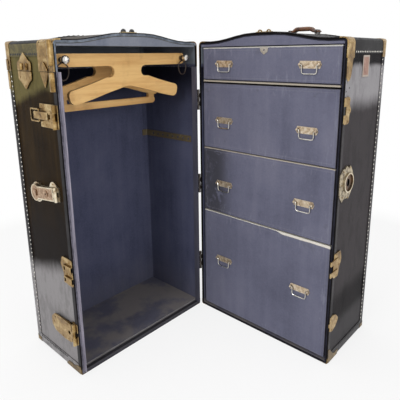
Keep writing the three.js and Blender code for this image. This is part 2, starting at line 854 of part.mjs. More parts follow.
function lowerDrawboltArm() {
  const start = rollSetback + 2 * rollRadius;
  const shape = plateOutline(lowerArmShares, lowerBoltLength, lowerBoltWidth, lowerBoltHeight, start);
  const body = lockSide.hanging(shape, axisStand - plateThickness, axisStand + plateThickness);
  const { along, up } = lowerPinHoleShares;
  const holes = join(
    lockSide.hanging(disc(lowerHoleSetback, lowerBoltHeight, lowerBoltHole), 0, lockProud),
    lockSide.hanging(disc(
      along * lowerBoltLength, lowerBoltHeight + up * lowerBoltWidth, lowerPinHole, eyeSides,
    ), 0, lockProud),
  );
  return cut(join(movingRoll(rollSetback, lowerBoltHeight, lowerBoltWidth), body), holes);
}

// The lock leans, so that its middle line runs on through the keeper's ring.
function leaning(whole) {
  const run = lockRoundSetback + 2 * halfSeam + keeperRingShare * keeperLength;
  const lean = THREE.MathUtils.radToDeg(Math.atan2(keeperRise, run));
  const placed = whole.translate([0, -lockRoundSetback, -lockHeight]).rotate([-lean, 0, 0]);
  return placed.translate([0, lockRoundSetback, lockHeight]);
}

function lockPlate() {
  const low = lockHeight - lockBodyHeight / 2;
  const high = lockHeight + lockBodyHeight / 2;
  const shapes = [
    rectangle(lockStart, low, lockRoundSetback, high, plateCorner),
    disc(lockRoundSetback, lockHeight, lockRoundRadius, lockSides),
    disc(lockLobeSetback, lockHeight + lockLobeRise, lockLobeRadius, roundSides),
  ];
  const plate = join(...shapes.map((shape) => seated("hanging", shape, plateTop)));
  return leaning(join(plate, ...fixedRolls(haspRollSetback, lockHeight, lockBodyHeight)));
}

function lockHasp() {
  const middle = lockHeight;
  const face = axisStand + plateThickness;
  const under = axisStand - plateThickness;
  const start = haspRollSetback + 2 * rollRadius;
  const half = lockBodyHeight / 2 - smallCorner;
  const strap = rectangle(start, middle - half, lockRoundSetback, middle + half, plateCorner);
  const round = disc(lockRoundSetback, middle, haspRoundRadius, lockSides);
  const square = disc(lockRoundSetback, middle, bossSize / 2, 4);
  const keyBoss = disc(keyBossSetback, middle, keyBossRadius);
  const keyhole = disc(keyBossSetback, middle, keyRadius);
  const whole = join(
    movingRoll(haspRollSetback, middle, lockBodyHeight),
    lockSide.hanging(strap, under, face),
    lockSide.hanging(round, under, face),
    lockSide.hanging(square, under, face + bossHeight),
    lockSide.hanging(keyBoss, under, face + bossHeight / 2),
  );
  return leaning(cut(whole, lockSide.hanging(keyhole, 0, lockProud + overrun)));
}

const lugHeights = [socketHeight - lugPitch / 2, socketHeight + lugPitch / 2];

const socketShares = [
  [0, -0.42, 0.06], [0.46, -0.42, 0.08], [0.78, -0.2, 0.1], [0.79, -0.02, 0.15], [1, 0.3, 0.15],
  [0.82, 0.57, 0.08], [0, 0.57, 0.06],
];

function socketPlate() {
  const shape = plateOutline(socketShares, socketLength, socketWidth, socketHeight);
  const top = lugStand + lugThickness + lugClearance + pocketSkin;
  const plate = seated("hanging", shape, plateTop);
  const roof = lugHeights.map((z) => {
    const half = lugWidth / 2 + lugClearance + pocketSkin;
    const end = pocketDepth - windowLap + windowLength + pocketSkin;
    const shape = rectangle(gap, z - half, end, z + half, smallCorner);
    return lockSide.hanging(shape, gap, top);
  });
  const hollows = lugHeights.map((z) => {
    const half = lugWidth / 2 + lugClearance;
    const shape = rectangle(-overrun, z - half, pocketDepth, z + half);
    return lockSide.hanging(shape, gap - lugClearance, top - pocketSkin);
  });
  const windows = lugHeights.map((z) => {
    const start = pocketDepth - windowLap;
    const half = windowHeight / 2;
    const shape = rectangle(start, z - half, start + windowLength, z + half, smallCorner);
    return lockSide.hanging(shape, plateTop, lockProud);
  });
  return cut(join(plate, ...roof), ...hollows, ...windows);
}

// Peak plate with two studs, on the lid

function peakPlate() {
  const places = [0, 1].map((index) => width / 2 - studStart - index * studPitch);
  const left = Math.min(...places) - peakPlateMargin;
  const right = Math.max(...places) + peakPlateMargin;
  const top = Math.max(roofAt(left), roofAt(right));
  const sheet = alongY(frontOutline(-gap - peakPlateThickness), gap, 2 * peakSetback);
  const under = alongY(frontOutline(-gap), -overrun, depth);
  const strip = meet(cut(sheet, under), block(left, right, 0, depth, top - ridgeRise, 2 * top));
  const studs = places.map((x) => (
    alongZ(disc(x, peakSetback, studRadius), roofAt(x) + gap, roofAt(x) + gap + studHeight)
  ));
  return join(strip, ...studs);
}

// Drawer half

function heightOf(share) {
  return stackBottom + share * (stackTop - stackBottom);
}

// The divider under drawer `index`: its bottom and top.
function dividerUnder(index) {
  const middle = (heightOf(drawerShares[index - 1].head) + heightOf(drawerShares[index].foot)) / 2;
  const thickness = index === drawerShares.length - 1 ? topDividerThickness : dividerThickness;
  return [middle - thickness / 2, middle + thickness / 2];
}

function drawerFrame() {
  const outer = wall + gap;
  const start = drawerFace + frontThickness + gap;
  const back = depth - wall - gap;
  const hinge = drawerHingeSide - gap;
  const lock = width - drawerLockSide + gap;
  const top = shoulderHeight - wall - gap;
  const panels = [
    block(outer, hinge, start, back, outer, top),
    block(lock, width - outer, start, back, outer, top),
    block(outer, hinge, gableSetback, start + overrun, gableFoot, top),
    block(lock, width - outer, gableSetback, start + overrun, gableFoot, top),
  ];
  const dividers = drawerShares.slice(1).map((drawer, index) => {
    const [bottom, height] = dividerUnder(index + 1);
    return block(outer, width - outer, start, back, bottom, height);
  });
  const [bottom, height] = dividerUnder(drawerShares.length - 1);
  const shelfEdge = block(
    drawerHingeSide, width - drawerLockSide, drawerFace, start + overrun, bottom, height,
  );
  const whole = join(...panels, ...dividers, shelfEdge, gableBoard(wall + gap));
  return meet(whole, caseForm(wall + gap, -overrun));
}

function drawer(index) {
  const { foot, head } = drawerShares[index];
  const left = drawerHingeSide;
  const right = width - drawerLockSide;
  const boxFoot = index ? dividerUnder(index)[1] + gap : wall + gap;
  const boxTop = heightOf(head) - drawerTopDrop;
  const front = drawerFace + frontThickness;
  const face = block(left, right, drawerFace, front, heightOf(foot), heightOf(head));
  const back = depth - wall - drawerBackRoom;
  const box = block(left, right, front - gap, back, boxFoot, boxTop);
  const room = block(
    left + drawerWall, right - drawerWall, front, back - drawerWall,
    boxFoot + drawerFloor, 2 * shoulderHeight,
  );
  return cut(join(face, box), room);
}

function pullPlate(x, z) {
  const front = drawerFace - gap;
  const half = pullWidth / 2;
  const sheet = alongY(outline([
    [x - half, z], [x - half + pullTaper, z + pullHeight / 2], [x + half - pullTaper, z + pullHeight / 2],
    [x + half, z], [x + half - pullTaper, z - pullHeight / 2], [x - half + pullTaper, z - pullHeight / 2],
  ]), front - pullThickness, front);
  const ears = [-1, 1].map((side) => {
    const middle = x + side * earSpread;
    const near = Math.min(middle - earWidth / 2, middle + earWidth / 2);
    const eye = alongX(disc(front - earStand, z, earRadius, eyeSides), near, near + earWidth);
    const web = block(
      near, near + earWidth, front - earStand, front - pullThickness / 2, z - earRadius, z + earRadius,
    );
    return join(eye, web);
  });
  const bore = alongX(
    disc(front - earStand, z, bailWire + pinClearance, eyeSides), x - half - overrun, x + half + overrun,
  );
  return cut(join(sheet, ...ears), bore);
}

function bail(x, z) {
  const y = drawerFace - gap - earStand;
  const end = earSpread + earWidth / 2;
  const half = bailHalfWidth;
  const corner = (cx, cz, dx, dz) => new THREE.QuadraticBezierCurve3(
    new THREE.Vector3(cx - dx[0], y, cz - dz[0]), new THREE.Vector3(cx, y, cz),
    new THREE.Vector3(cx - dx[1], y, cz - dz[1]),
  );
  const low = z - bailDrop;
  const bend = bailBend;
  const small = bailBend / 3;
  const bends = [
    corner(x - half, z, [small, 0], [0, small]),
    corner(x - half, low, [0, -bend], [-bend, 0]),
    corner(x + half, low, [bend, 0], [0, -bend]),
    corner(x + half, z, [0, -small], [small, 0]),
  ];
  const points = [new THREE.Vector3(x - end, y, z)];
  bends.forEach((curve, index) => points.push(...curve.getPoints(index % 3 ? 2 : 1)));
  points.push(new THREE.Vector3(x + end, y, z));
  return swept(points, bailWire, wireSides);
}

// A round bar through points in a plane of constant Y, mitred at each.
function swept(points, radius, sides) {
  const rings = points.map((point, index) => {
    const before = points[Math.max(index - 1, 0)];
    const after = points[Math.min(index + 1, points.length - 1)];
    const into = point.clone().sub(before).normalize();
    const out = after.clone().sub(point).normalize();
    const along = into.add(out).normalize();
    const across = unitY.clone().cross(along).normalize();
    const ring = [];
    for (let side = 0; side < sides; side += 1) {
      const angle = (2 * Math.PI * (side + 0.5)) / sides;
      ring.push(point.clone()
        .addScaledVector(across, radius * Math.cos(angle))
        .addScaledVector(unitY, radius * Math.sin(angle)));
    }
    return ring;
  });
  const position = rings.flat().flatMap((corner) => corner.toArray());
  const index = [];
  for (let row = 0; row < rings.length - 1; row += 1) {
    for (let side = 0; side < sides; side += 1) {
      const next = (side + 1) % sides;
      const a = row * sides + side;
      const b = row * sides + next;
      index.push(a, b, a + sides, b, b + sides, a + sides);
    }
  }
  const last = (rings.length - 1) * sides;
  for (let side = 1; side < sides - 1; side += 1) {
    index.push(0, side + 1, side);
    index.push(last, last + side, last + side + 1);
  }
  const geometry = new THREE.BufferGeometry();
  geometry.setAttribute("position", new THREE.Float32BufferAttribute(position, 3));
  geometry.setIndex(index);
  return solid(geometry);
}

function escutcheon() {
  const x = width / 2;
  const z = heightOf(escutcheonShare);
  const half = escutcheonWidth / 2;
  const shield = alongY(outline([
    [x - half, z + escutcheonHeight / 3], [x - half / 3, z + escutcheonHeight / 2, gap],
    [x + half / 3, z + escutcheonHeight / 2, gap], [x + half, z + escutcheonHeight / 3],
    [x + half * escutcheonWaist, z - escutcheonHeight / 8, half / 2],
    [x, z - escutcheonHeight / 2, half / 8],
    [x - half * escutcheonWaist, z - escutcheonHeight / 8, half / 2],
  ]), drawerFace - gap - pullThickness, drawerFace - gap);
  const keyhole = disc(x, z + escutcheonHeight / 10, escutcheonHeight / 8, eyeSides);
  return cut(shield, alongY(keyhole, -depth, depth));
}

const notchShares = [
  [0, -0.5, 0.06], [0.8, -0.5, 0.12], [0.72, -0.2, 0.15], [1, 0, 0.1], [0.72, 0.2, 0.15],
  [0.8, 0.5, 0.12], [0, 0.5, 0.06],
];

function notchPlate() {
  const middle = upperBoltHeight + notchRise;
  const shape = plateOutline(notchShares, notchLength, notchPlateWidth, middle);
  const notch = lockSide.drawer(rectangle(
    -overrun, middle - notchWidth / 2, notchDepth, middle + notchWidth / 2,
  ), 0, lockProud);
  return cut(seated("drawer", shape, plateTop), notch);
}

const keeperShares = [
  [0.02, -0.3, 0.1], [0.18, -0.44, 0.06], [0.24, -0.5, 0.03], [0.34, -0.43, 0.06], [0.62, -0.43, 0.2],
  [0.72, -0.48, 0.03], [0.8, -0.4, 0.06], [1, -0.18, 0.3], [1, 0.2, 0.3], [0.82, 0.4, 0.06],
  [0.74, 0.48, 0.03], [0.62, 0.4, 0.05], [0.5, 0.5, 0.03], [0.36, 0.42, 0.05], [0.2, 0.44, 0.1],
  [0.02, 0.3, 0.1],
];

function lockKeeper() {
  const z = lockHeight + keeperRise;
  const shape = plateOutline(keeperShares, keeperLength, keeperWidth, z);
  const middle = keeperRingShare * keeperLength;
  const round = disc(middle, z, keeperRing, ringSides);
  const ring = lockSide.drawer(round, gap, plateTop + keeperRingRise);
  const hollow = disc(middle, z, keeperRing - keeperRingRise, ringSides);
  const dish = lockSide.drawer(hollow, plateTop, lockProud);
  const hole = lockSide.drawer(rectangle(
    middle - keeperHoleHalfWidth, z - keeperHoleHalfHeight,
    middle + keeperHoleHalfWidth, z + keeperHoleHalfHeight, keeperHoleHalfWidth,
  ), -bindingThickness - overrun, lockProud);
  return cut(join(seated("drawer", shape, plateTop), cut(ring, dish)), hole);
}

const lugPlateShares = [
  [0, -0.42, 0.06], [0.62, -0.42, 0.1], [0.74, -0.12, 0.15], [1, 0.14, 0.15], [0.84, 0.5, 0.08],
  [0, 0.5, 0.06],
];

function lugPlateMiddle() {
  const shape = plateOutline(lugPlateShares, lugPlateLength, socketWidth, socketHeight);
  const lugs = lugHeights.map((z) => lockSide.drawer(rectangle(
    -lugReach - 2 * halfSeam, z - lugWidth / 2, lugPlateLength / 2, z + lugWidth / 2, smallCorner,
  ), lugStand, lugStand + lugThickness));
  return join(seated("drawer", shape, plateTop), ...lugs);
}

const leafShares = [
  [0, -0.42, 0.06], [0.25, -0.5, 0.08], [0.62, -0.38, 0.2], [1, 0, 0.25], [0.62, 0.38, 0.2],
  [0.25, 0.5, 0.08], [0, 0.42, 0.06],
];

function lugPlateLower() {
  const shape = plateOutline(leafShares, lowerLeafLength, lowerLeafWidth, lowerBoltHeight);
  const lug = lockSide.drawer(rectangle(
    -lowerLugReach - 2 * halfSeam, lowerBoltHeight - lowerLugWidth / 2,
    lowerLeafLength / 3, lowerBoltHeight + lowerLugWidth / 2, smallCorner,
  ), lowerLugStand, lowerLugStand + lowerLugThickness);
  return join(seated("drawer", shape, plateTop), lug);
}

function plaque() {
  const foot = shoulderHeight - topBindingWidth - plaqueDrop - plaqueHeight;
  const shape = rectangle(
    plaqueSetback, foot, plaqueSetback + plaqueLength, foot + plaqueHeight, plateCorner,
  );
  return lockSide.drawer(shape, -bindingThickness, -bindingThickness + plaqueThickness);
}

function peakLoops() {
  const start = width / 2 - peakLoopStart;
  const left = start - peakPlateMargin;
  const right = start + peakLoopPitch + peakPlateMargin;
  const sheet = alongY(frontOutline(-gap - peakPlateThickness), gap, 2 * peakSetback);
  const under = alongY(frontOutline(-gap), -overrun, depth);
  const foot = roofAt(left) - ridgeRise;
  const strip = meet(cut(sheet, under), block(left, right, 0, depth, foot, 2 * foot));
  const rings = [start, start + peakLoopPitch].map((x) => {
    const z = roofAt(x);
    const outer = alongY(
      disc(x, z, peakLoopRadius + peakLoopWire), peakSetback - peakLoopWire, peakSetback + peakLoopWire,
    );
    const inner = alongY(disc(x, z, peakLoopRadius - peakLoopWire), 0, depth);
    return above(z + gap, cut(outer, inner));
  });
  return join(strip, ...rings);
}

function handlePost(side) {
  const x = width / 2 + side * handleHalf;
  const foot = Math.min(roofAt(x - postLength / 2), roofAt(x + postLength / 2));
  const half = strapWidth / 2 + gap + postWall;
  const head = roofAt(width / 2) + strapStand + strapThickness + gap + postWall;
  const frame = alongX(
    rectangle(handleSetback - half, foot - overrun, handleSetback + half, head, postWall),
    x - postLength / 2, x + postLength / 2,
  );
  const mouth = alongX(rectangle(
    handleSetback - half + postWall, roofAt(width / 2) + strapStand - gap,
    handleSetback + half - postWall, head - postWall,
  ), x - postLength, x + postLength);
  const roof = alongY(frontOutline(-gap), -overrun, depth + overrun);
  return cut(frame, mouth, roof);
}

function handleStrap() {
  const middle = width / 2;
  const base = roofAt(middle) + strapStand;
  const half = handleHalf + postLength / 2 + strapTail;
  const steps = 12;
  const climb = handleHalf - postLength;
  const lower = [[middle - half, base]];
  const upper = [[middle - half, base + strapThickness]];
  for (let step = 0; step <= steps; step += 1) {
    const share = (2 * step) / steps - 1;
    const climbed = Math.min(2 * (1 - Math.abs(share)), 1);
    const z = base + (strapRise * (1 - Math.cos(Math.PI * climbed))) / 2;
    lower.push([middle + share * climb, z]);
    upper.push([middle + share * climb, z + strapThickness]);
  }
  lower.push([middle + half, base]);
  upper.push([middle + half, base + strapThickness]);
  const strap = outline([...lower, ...upper.reverse()]);
  return alongY(strap, handleSetback - strapWidth / 2, handleSetback + strapWidth / 2);
}

// The trunk

const hangingHalf = new THREE.Group();
hangingHalf.rotation.z = Math.PI / 2;
hangingHalf.position.set(-halfSeam, -pinOffset - width, 0);

const drawerHalf = new THREE.Group();
drawerHalf.position.set(pinOffset, halfSeam, 0);

hangingHalf.add(
  mesh("hanging_shell", hangingShell(), "case"),
  mesh("hanging_binding", hangingBinding(), "binding"),
  mesh("hanging_tongue", tongue(), "tongue"),
  mesh("lid_shell", lidShell(), "case"),
  mesh("lid_binding", lidBinding(), "binding"),
  mesh("lid_peak_plate", peakPlate(), "stud"),
  mesh("rail_left", rail(railInset), "nickel"),
  mesh("rail_right", rail(width - railInset), "nickel"),
  mesh("rail_loop_left", railLoop(railInset), "nickel"),
  mesh("rail_loop_right", railLoop(width - railInset), "nickel"),
  mesh("hanger_front", hanger("hanger_front"), "hangerWood"),
  mesh("hanger_trouser", hanger("hanger_trouser"), "hangerWood"),
  mesh("ratchet_strip", ratchetStrip(), "brass"),
  mesh("upper_drawbolt_plate", upperDrawboltPlate(), "brass"),
  mesh("upper_drawbolt_arm", upperDrawboltArm(), "brass"),
  mesh("upper_drawbolt_loop", upperDrawboltLoop(), "brass"),
  mesh("lock_plate", lockPlate(), "brass"),
  mesh("lock_hasp", lockHasp(), "brass"),
  mesh("socket_plate", socketPlate(), "brass"),
  mesh("lower_drawbolt_plate", lowerDrawboltPlate(), "brass"),
  mesh("lower_drawbolt_arm", lowerDrawboltArm(), "brass"),
);

drawerHalf.add(
  mesh("drawer_shell", caseShell(wall), "case"),
  mesh("drawer_binding", caseBinding(topCapDepth, topCapHeight), "binding"),
  mesh("drawer_frame", drawerFrame(), "lining"),
  mesh("notch_plate", notchPlate(), "brass"),
  mesh("lock_keeper", lockKeeper(), "brass"),
  mesh("lug_plate_middle", lugPlateMiddle(), "brass"),
  mesh("lug_plate_lower", lugPlateLower(), "brass"),
  mesh("plaque", plaque(), "brass"),
  mesh("peak_loops", peakLoops(), "brass"),
  mesh("handle_post_left", handlePost(-1), "brass"),
  mesh("handle_post_right", handlePost(1), "brass"),
  mesh("handle_strap", handleStrap(), "leather"),
  mesh("drawer_escutcheon", escutcheon(), "brass"),
);

for (const [place, share] of Object.entries(hingeShares)) {
  hangingHalf.add(mesh(`hinge_${place}_left`, caseHingeLeaf(share, "fixed"), "nickel"));
  drawerHalf.add(mesh(`hinge_${place}_right`, caseHingeLeaf(share, "moving"), "nickel"));
}

drawerShares.forEach(({ name, pull }, index) => {
  drawerHalf.add(mesh(name, drawer(index), "drawerWood"));
  for (const [side, share] of Object.entries(pullShares)) {
    const x = share * width;
    drawerHalf.add(mesh(`${name}_pull_${side}`, pullPlate(x, heightOf(pull)), "brass"));
    drawerHalf.add(mesh(`${name}_bail_${side}`, bail(x, heightOf(pull)), "brass"));
  }
});

// The origin lies on the floor, under the middle of the whole trunk.
const trunk = new THREE.Group();
const leftReach = halfSeam + depth + lidAxisOffset + knuckleRadius;
const rightReach = pinOffset + width + plateTop + keeperRingRise;
const frontReach = pinOffset + width + axisStand + rollRadius;
const backReach = halfSeam + depth + capThickness;
trunk.add(hangingHalf, drawerHalf);
trunk.position.set((leftReach - rightReach) / 2, (frontReach - backReach) / 2, 0);

export default trunk;
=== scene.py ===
import math

import bmesh
import bpy
from mathutils import Euler, Matrix, Vector


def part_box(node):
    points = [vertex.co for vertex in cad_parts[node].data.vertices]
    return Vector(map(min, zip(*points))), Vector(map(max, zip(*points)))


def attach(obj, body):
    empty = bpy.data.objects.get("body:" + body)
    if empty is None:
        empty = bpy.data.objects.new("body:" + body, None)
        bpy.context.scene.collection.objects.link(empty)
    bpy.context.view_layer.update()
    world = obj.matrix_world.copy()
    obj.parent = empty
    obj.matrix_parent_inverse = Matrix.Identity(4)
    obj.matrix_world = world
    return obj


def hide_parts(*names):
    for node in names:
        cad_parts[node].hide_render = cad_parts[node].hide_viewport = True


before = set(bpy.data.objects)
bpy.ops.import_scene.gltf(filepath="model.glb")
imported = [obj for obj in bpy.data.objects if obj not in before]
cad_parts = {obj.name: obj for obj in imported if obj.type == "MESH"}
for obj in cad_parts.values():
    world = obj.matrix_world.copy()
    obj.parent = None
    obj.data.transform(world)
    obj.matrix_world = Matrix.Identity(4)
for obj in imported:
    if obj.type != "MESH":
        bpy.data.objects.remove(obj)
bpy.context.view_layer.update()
scene = bpy.context.scene

MM = 0.001

# The case, in millimetres. The floor, lamps, camera and noise go by metres.
WIDTH = 555
DEPTH = 290
SHOULDER = 1036
RIDGE_RISE = 22.5
SHOULDER_RUN = 55
RIDGE_FLAT = 80
CROWN_STEPS = 5
WALL = 10
SEAM = 950
SEAM_GAP = 0.6
BINDING = 2
BOARD_RECESS = 2.3

# The lock leans about the middle of its round end, so that the shut hasp meets the keeper
LOCK_SETBACK = 163
LOCK_HEIGHT = 582
KEEPER_SETBACK = 59
KEEPER_HEIGHT = 610
LOCK_TO_KEEPER = 222.9
LOCK_LEAN = math.atan2(KEEPER_HEIGHT - LOCK_HEIGHT, LOCK_TO_KEEPER)
LOCK_RUN = math.cos(LOCK_LEAN)
LOCK_RISE = math.sin(LOCK_LEAN)

hanging_low, hanging_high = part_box("hanging_shell")
drawer_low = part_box("drawer_shell")[0]


# Places

def hanging(across, inward, up):
    """A place on the hanging half: from its lock side, in from its opening, and up."""
    return Vector((hanging_high.x - inward * MM, hanging_low.y + (across - BOARD_RECESS) * MM, up * MM))


def drawers(across, inward, up):
    """A place on the drawer half: from its hinge side, in from its opening, and up."""
    return Vector((drawer_low.x + (across - BOARD_RECESS) * MM, drawer_low.y + inward * MM, up * MM))


def roof_at(across):
    """The height of the roof, which climbs from each shoulder in a few flat steps."""
    run = WIDTH / 2 - RIDGE_FLAT / 2 - SHOULDER_RUN
    climbed = min(max((min(across, WIDTH - across) - SHOULDER_RUN) / run, 0), 1) * CROWN_STEPS
    below = min(int(climbed), CROWN_STEPS - 1)
    low, high = [(1 - math.cos(math.pi * step / CROWN_STEPS)) / 2 for step in (below, below + 1)]
    return SHOULDER + RIDGE_RISE * (low + (high - low) * (climbed - below))


# Each face of a half takes a place along it and up, and how far out from it that lies.

def side_face(half, at_start):
    return lambda along, up, out=0: half(-out if at_start else WIDTH + out, along, up)


def lock_side(half):
    return side_face(half, half is hanging)


def hinge_side(half):
    return side_face(half, half is drawers)


def back_side(half):
    return lambda along, up, out=0: half(along, DEPTH + out, up)


def roof_side(half):
    return lambda across, along, out=0: half(across, along, roof_at(across) + out)


def opening(half):
    return lambda across, up, out=0: half(across, -out, up)


# Colour and nodes

def shade(red, green, blue):
    """A colour as it is seen on a screen, as light."""
    tones = [tone / 255 for tone in (red, green, blue)]
    light = [t / 12.92 if t <= 0.04045 else ((t + 0.055) / 1.055) ** 2.4 for t in tones]
    return (*light, 1)


def operator(operation):
    """What an operator between a wire and a value does: it adds a Math node."""
    return lambda wire, other: wire.maths(operation, wire, other)


class Wire:
    """An output of a node. Arithmetic on it adds Math nodes."""

    def __init__(self, nodes, socket):
        self.nodes = nodes
        self.socket = socket

    def maths(self, operation, *values):
        return self.nodes.node("Math", {"operation": operation}, dict(enumerate(values)))

    def __rsub__(self, other):
        return self.maths("SUBTRACT", other, self)

    __add__ = __radd__ = operator("ADD")
    __sub__ = operator("SUBTRACT")
    __mul__ = __rmul__ = operator("MULTIPLY")
    __truediv__ = operator("DIVIDE")
    __gt__ = operator("GREATER_THAN")
    __lt__ = operator("LESS_THAN")
    __and__ = operator("MINIMUM")
    __or__ = operator("MAXIMUM")

    def size(self):
        return self.maths("ABSOLUTE", self)

    def wave(self):
        return self.maths("SINE", self)

    def away(self, other):
        """How far from a point a place is, this far one way and that far the other."""
        return self.maths("SQRT", self * self + other * other)

    def between(self, low, high):
        """0 at low and 1 at high, and smooth between."""
        return self.nodes.node(
            "MapRange", {"interpolation_type": "SMOOTHSTEP"},
            {"Value": self, "From Min": low, "From Max": high},
        )


def found(sockets, key):
    """The socket of a number or a name."""
    if isinstance(key, int):
        return sockets[key]
    return next(s for s in sockets if key in (s.identifier, s.name))


class Nodes:
    """The nodes of a finish or of the studio round the trunk."""

    def __init__(self, tree):
        self.tree = tree

    def node(self, kind, settings, inputs, output=0):
        """Adds a node, with its settings and then the values or links of its sockets."""
        made = self.tree.nodes.new("ShaderNode" + kind)
        for key, value in settings.items():
            if key == "stops":
                ramp = made.color_ramp.elements
                while len(ramp) < len(value):
                    ramp.new(1)
                for element, (place, colour) in zip(ramp, value):
                    element.position = place
                    element.color = colour
            else:
                setattr(made, key, value)
        for key, value in inputs.items():
            self.feed(found(made.inputs, key), value)
        return Wire(self, found(made.outputs, output))

    def vectors(self, operation, *values, output=0):
        return self.node("VectorMath", {"operation": operation}, dict(enumerate(values)), output)

    def feed(self, socket, value):
        if isinstance(value, Wire):
            self.tree.links.new(value.socket, socket)
        else:
            socket.default_value = value

    def seen(self):
        """1 for what is seen, also in a gloss or through glass, and 0 for what lights the trunk."""
        straight, glossy, through = [
            self.node("LightPath", {}, {}, f"Is {kind} Ray") for kind in ("Camera", "Glossy", "Transmission")
        ]
        return straight | glossy | through

    def end(self, mask, first, second):
        """Ends in the first shader where the mask is 0 and the second where it is 1."""
        output = next(n for n in self.tree.nodes if n.type.startswith("OUTPUT"))
        self.feed(output.inputs["Surface"], self.node("MixShader", {}, {0: mask, 1: first, 2: second}))


class Finish(Nodes):
    """A material and its nodes."""

    def __init__(self, name, **constants):
        self.material = bpy.data.materials.new(name)
        self.material.use_nodes = True
        super().__init__(self.material.node_tree)
        self.shader = next(n for n in self.tree.nodes if n.type == "BSDF_PRINCIPLED")
        for socket, value in constants.items():
            self.shader.inputs[socket.replace("_", " ")].default_value = value

    def show(self, colour, rough, height, depth=0.2, **more):
        """Shows a colour and a roughness, with a height of 0 to 1 as a relief of this depth."""
        relief = self.node("Bump", {}, {"Height": height, "Distance": depth * MM, "Strength": 1})
        for key, value in {"Base Color": colour, "Roughness": rough, "Normal": relief, **more}.items():
            self.feed(self.shader.inputs[key], value)
        return self.material

    def place(self, output="Object"):
        return self.node("TexCoord", {}, {}, output)

    def parts(self, output="Object"):
        vector = self.place(output)
        return [self.node("SeparateXYZ", {}, {"Vector": vector}, axis) for axis in "XYZ"]

    def cloud(self, scale, detail, rough, squeeze=None, warp=0):
        """Soft noise. A squeeze scales each axis, for a grain or streaks along one of them."""
        place = self.vectors("MULTIPLY", self.place(), squeeze) if squeeze else self.place()
        return self.node("TexNoise", {}, {
            "Vector": place, "Scale": scale, "Detail": detail, "Roughness": rough, "Distortion": warp,
        })

    def blend(self, mask, first, second):
        """The first colour where the mask is 0 and the second where it is 1."""
        return self.node("Mix", {"data_type": "RGBA"}, {
            "Factor_Float": mask, "A_Color": first, "B_Color": second,
        }, "Result_Color")

    def tint(self, value, tones, *places):
        """The first tone up to the first place, and from tone to tone between the places."""
        return self.node("ValToRGB", {"stops": list(zip(places, tones))}, {"Fac": value})

    def crevice(self, reach):
        """1 in a corner or recess and 0 in the open."""
        return 1 - self.node("AmbientOcclusion", {"samples": 6}, {"Distance": reach * MM}, "AO")

    def edges(self, reach):
        """1 along the sharp edges and 0 on the flats."""
        softened = self.node("Bevel", {"samples": 6}, {"Radius": reach * MM})
        plain = self.node("NewGeometry", {}, {}, "Normal")
        return 1 - self.vectors("DOT_PRODUCT", softened, plain, output="Value").between(0.86, 0.99)

    def weave(self, pitch):
        """Threads that cross, on any face that stands along two axes."""
        x, y, z = [(axis * (math.tau / (pitch * MM))).wave() for axis in self.parts()]
        return (x * y + y * z + z * x) / 2 + 0.5


def half_parts(finish, half):
    """How far across, inward and up a place on a half is."""
    x, y, z = finish.parts()
    start = half(0, 0, 0)
    if half is hanging:
        return (y - start.y) / MM, (start.x - x) / MM, z / MM
    return (x - start.x) / MM, (y - start.y) / MM, z / MM


def facing_in(finish, half):
    """1 on the faces that look into a half, and 0 on those that look out."""
    middle = tuple(half(WIDTH / 2, DEPTH / 2, SHOULDER / 2))
    towards = finish.vectors("SUBTRACT", middle, finish.place())
    return finish.vectors("DOT_PRODUCT", towards, finish.place("Normal"), output="Value") > 0


# Colours

FRONT_CLOTH = [shade(88, 89, 108), shade(103, 104, 124), shade(116, 116, 134)]
# Painted light: the lid's gable cloth is a paler copy of the front cloth
LID_CLOTH_LIT = [shade(110, 116, 132), shade(130, 135, 148), shade(146, 150, 160)]
INNER_PAPER = [shade(68, 71, 92), shade(83, 86, 109), shade(95, 97, 119)]
LINT = shade(150, 150, 158)
FLOOR_WORN = shade(134, 128, 124)
SEAM_SHADOW = shade(9, 9, 14)
# Painted light: the lining in the lid, paler than the rest
LID_PAPER_LIT = shade(134, 142, 150)
# Painted shade on the hinge wall's paper
HINGE_WALL_SHADE = shade(22, 22, 34)
BROWN_CANVAS = (shade(25, 17, 9), shade(54, 41, 23))
BLACK_CANVAS = (shade(27, 25, 27), shade(49, 46, 48))
# The rim's own black, also used as painted shade in corners and recesses
RIM_BLACK_AND_CREVICE_SHADE = shade(22, 20, 20)
# Painted sheen (olive) and painted reflection of the floor (grey) for the case's sides
OLIVE_SHEEN = shade(110, 101, 64)
GREY_FLOOR_REFLECTION = shade(150, 147, 148)
FIBRE = (shade(20, 19, 21), shade(50, 48, 50))
FIBRE_GREY = shade(92, 88, 92)
BRASS = shade(158, 128, 80)
BRASS_PALE = shade(220, 198, 150)
# Grime and painted shade in the hollows of brass
BRASS_GRIME_AND_SHADE = shade(56, 38, 20)
BRASS_TONES = (shade(88, 64, 34), BRASS, BRASS_PALE)
FOOT_BRASS = shade(64, 52, 34)
PEAK_TONES = (BRASS, BRASS_PALE, shade(240, 226, 190))
PALE_TONES = (shade(150, 122, 88), shade(218, 204, 176), shade(244, 238, 222))
BRONZE_TONES = (shade(124, 96, 72), shade(200, 180, 152), shade(234, 226, 212))
OLD_TONES = (shade(58, 44, 26), shade(106, 86, 52), shade(150, 130, 90))
STEEL_TONES = (shade(40, 37, 36), shade(84, 78, 74), shade(132, 126, 120))
COPPER_TONES = (shade(104, 70, 58), shade(160, 120, 104), shade(188, 156, 142))
PLAQUE_BORDER = shade(176, 162, 150)
STUD_BLACK = (shade(20, 19, 20), shade(58, 54, 52))
NICKEL = (shade(120, 112, 104), shade(214, 210, 202))
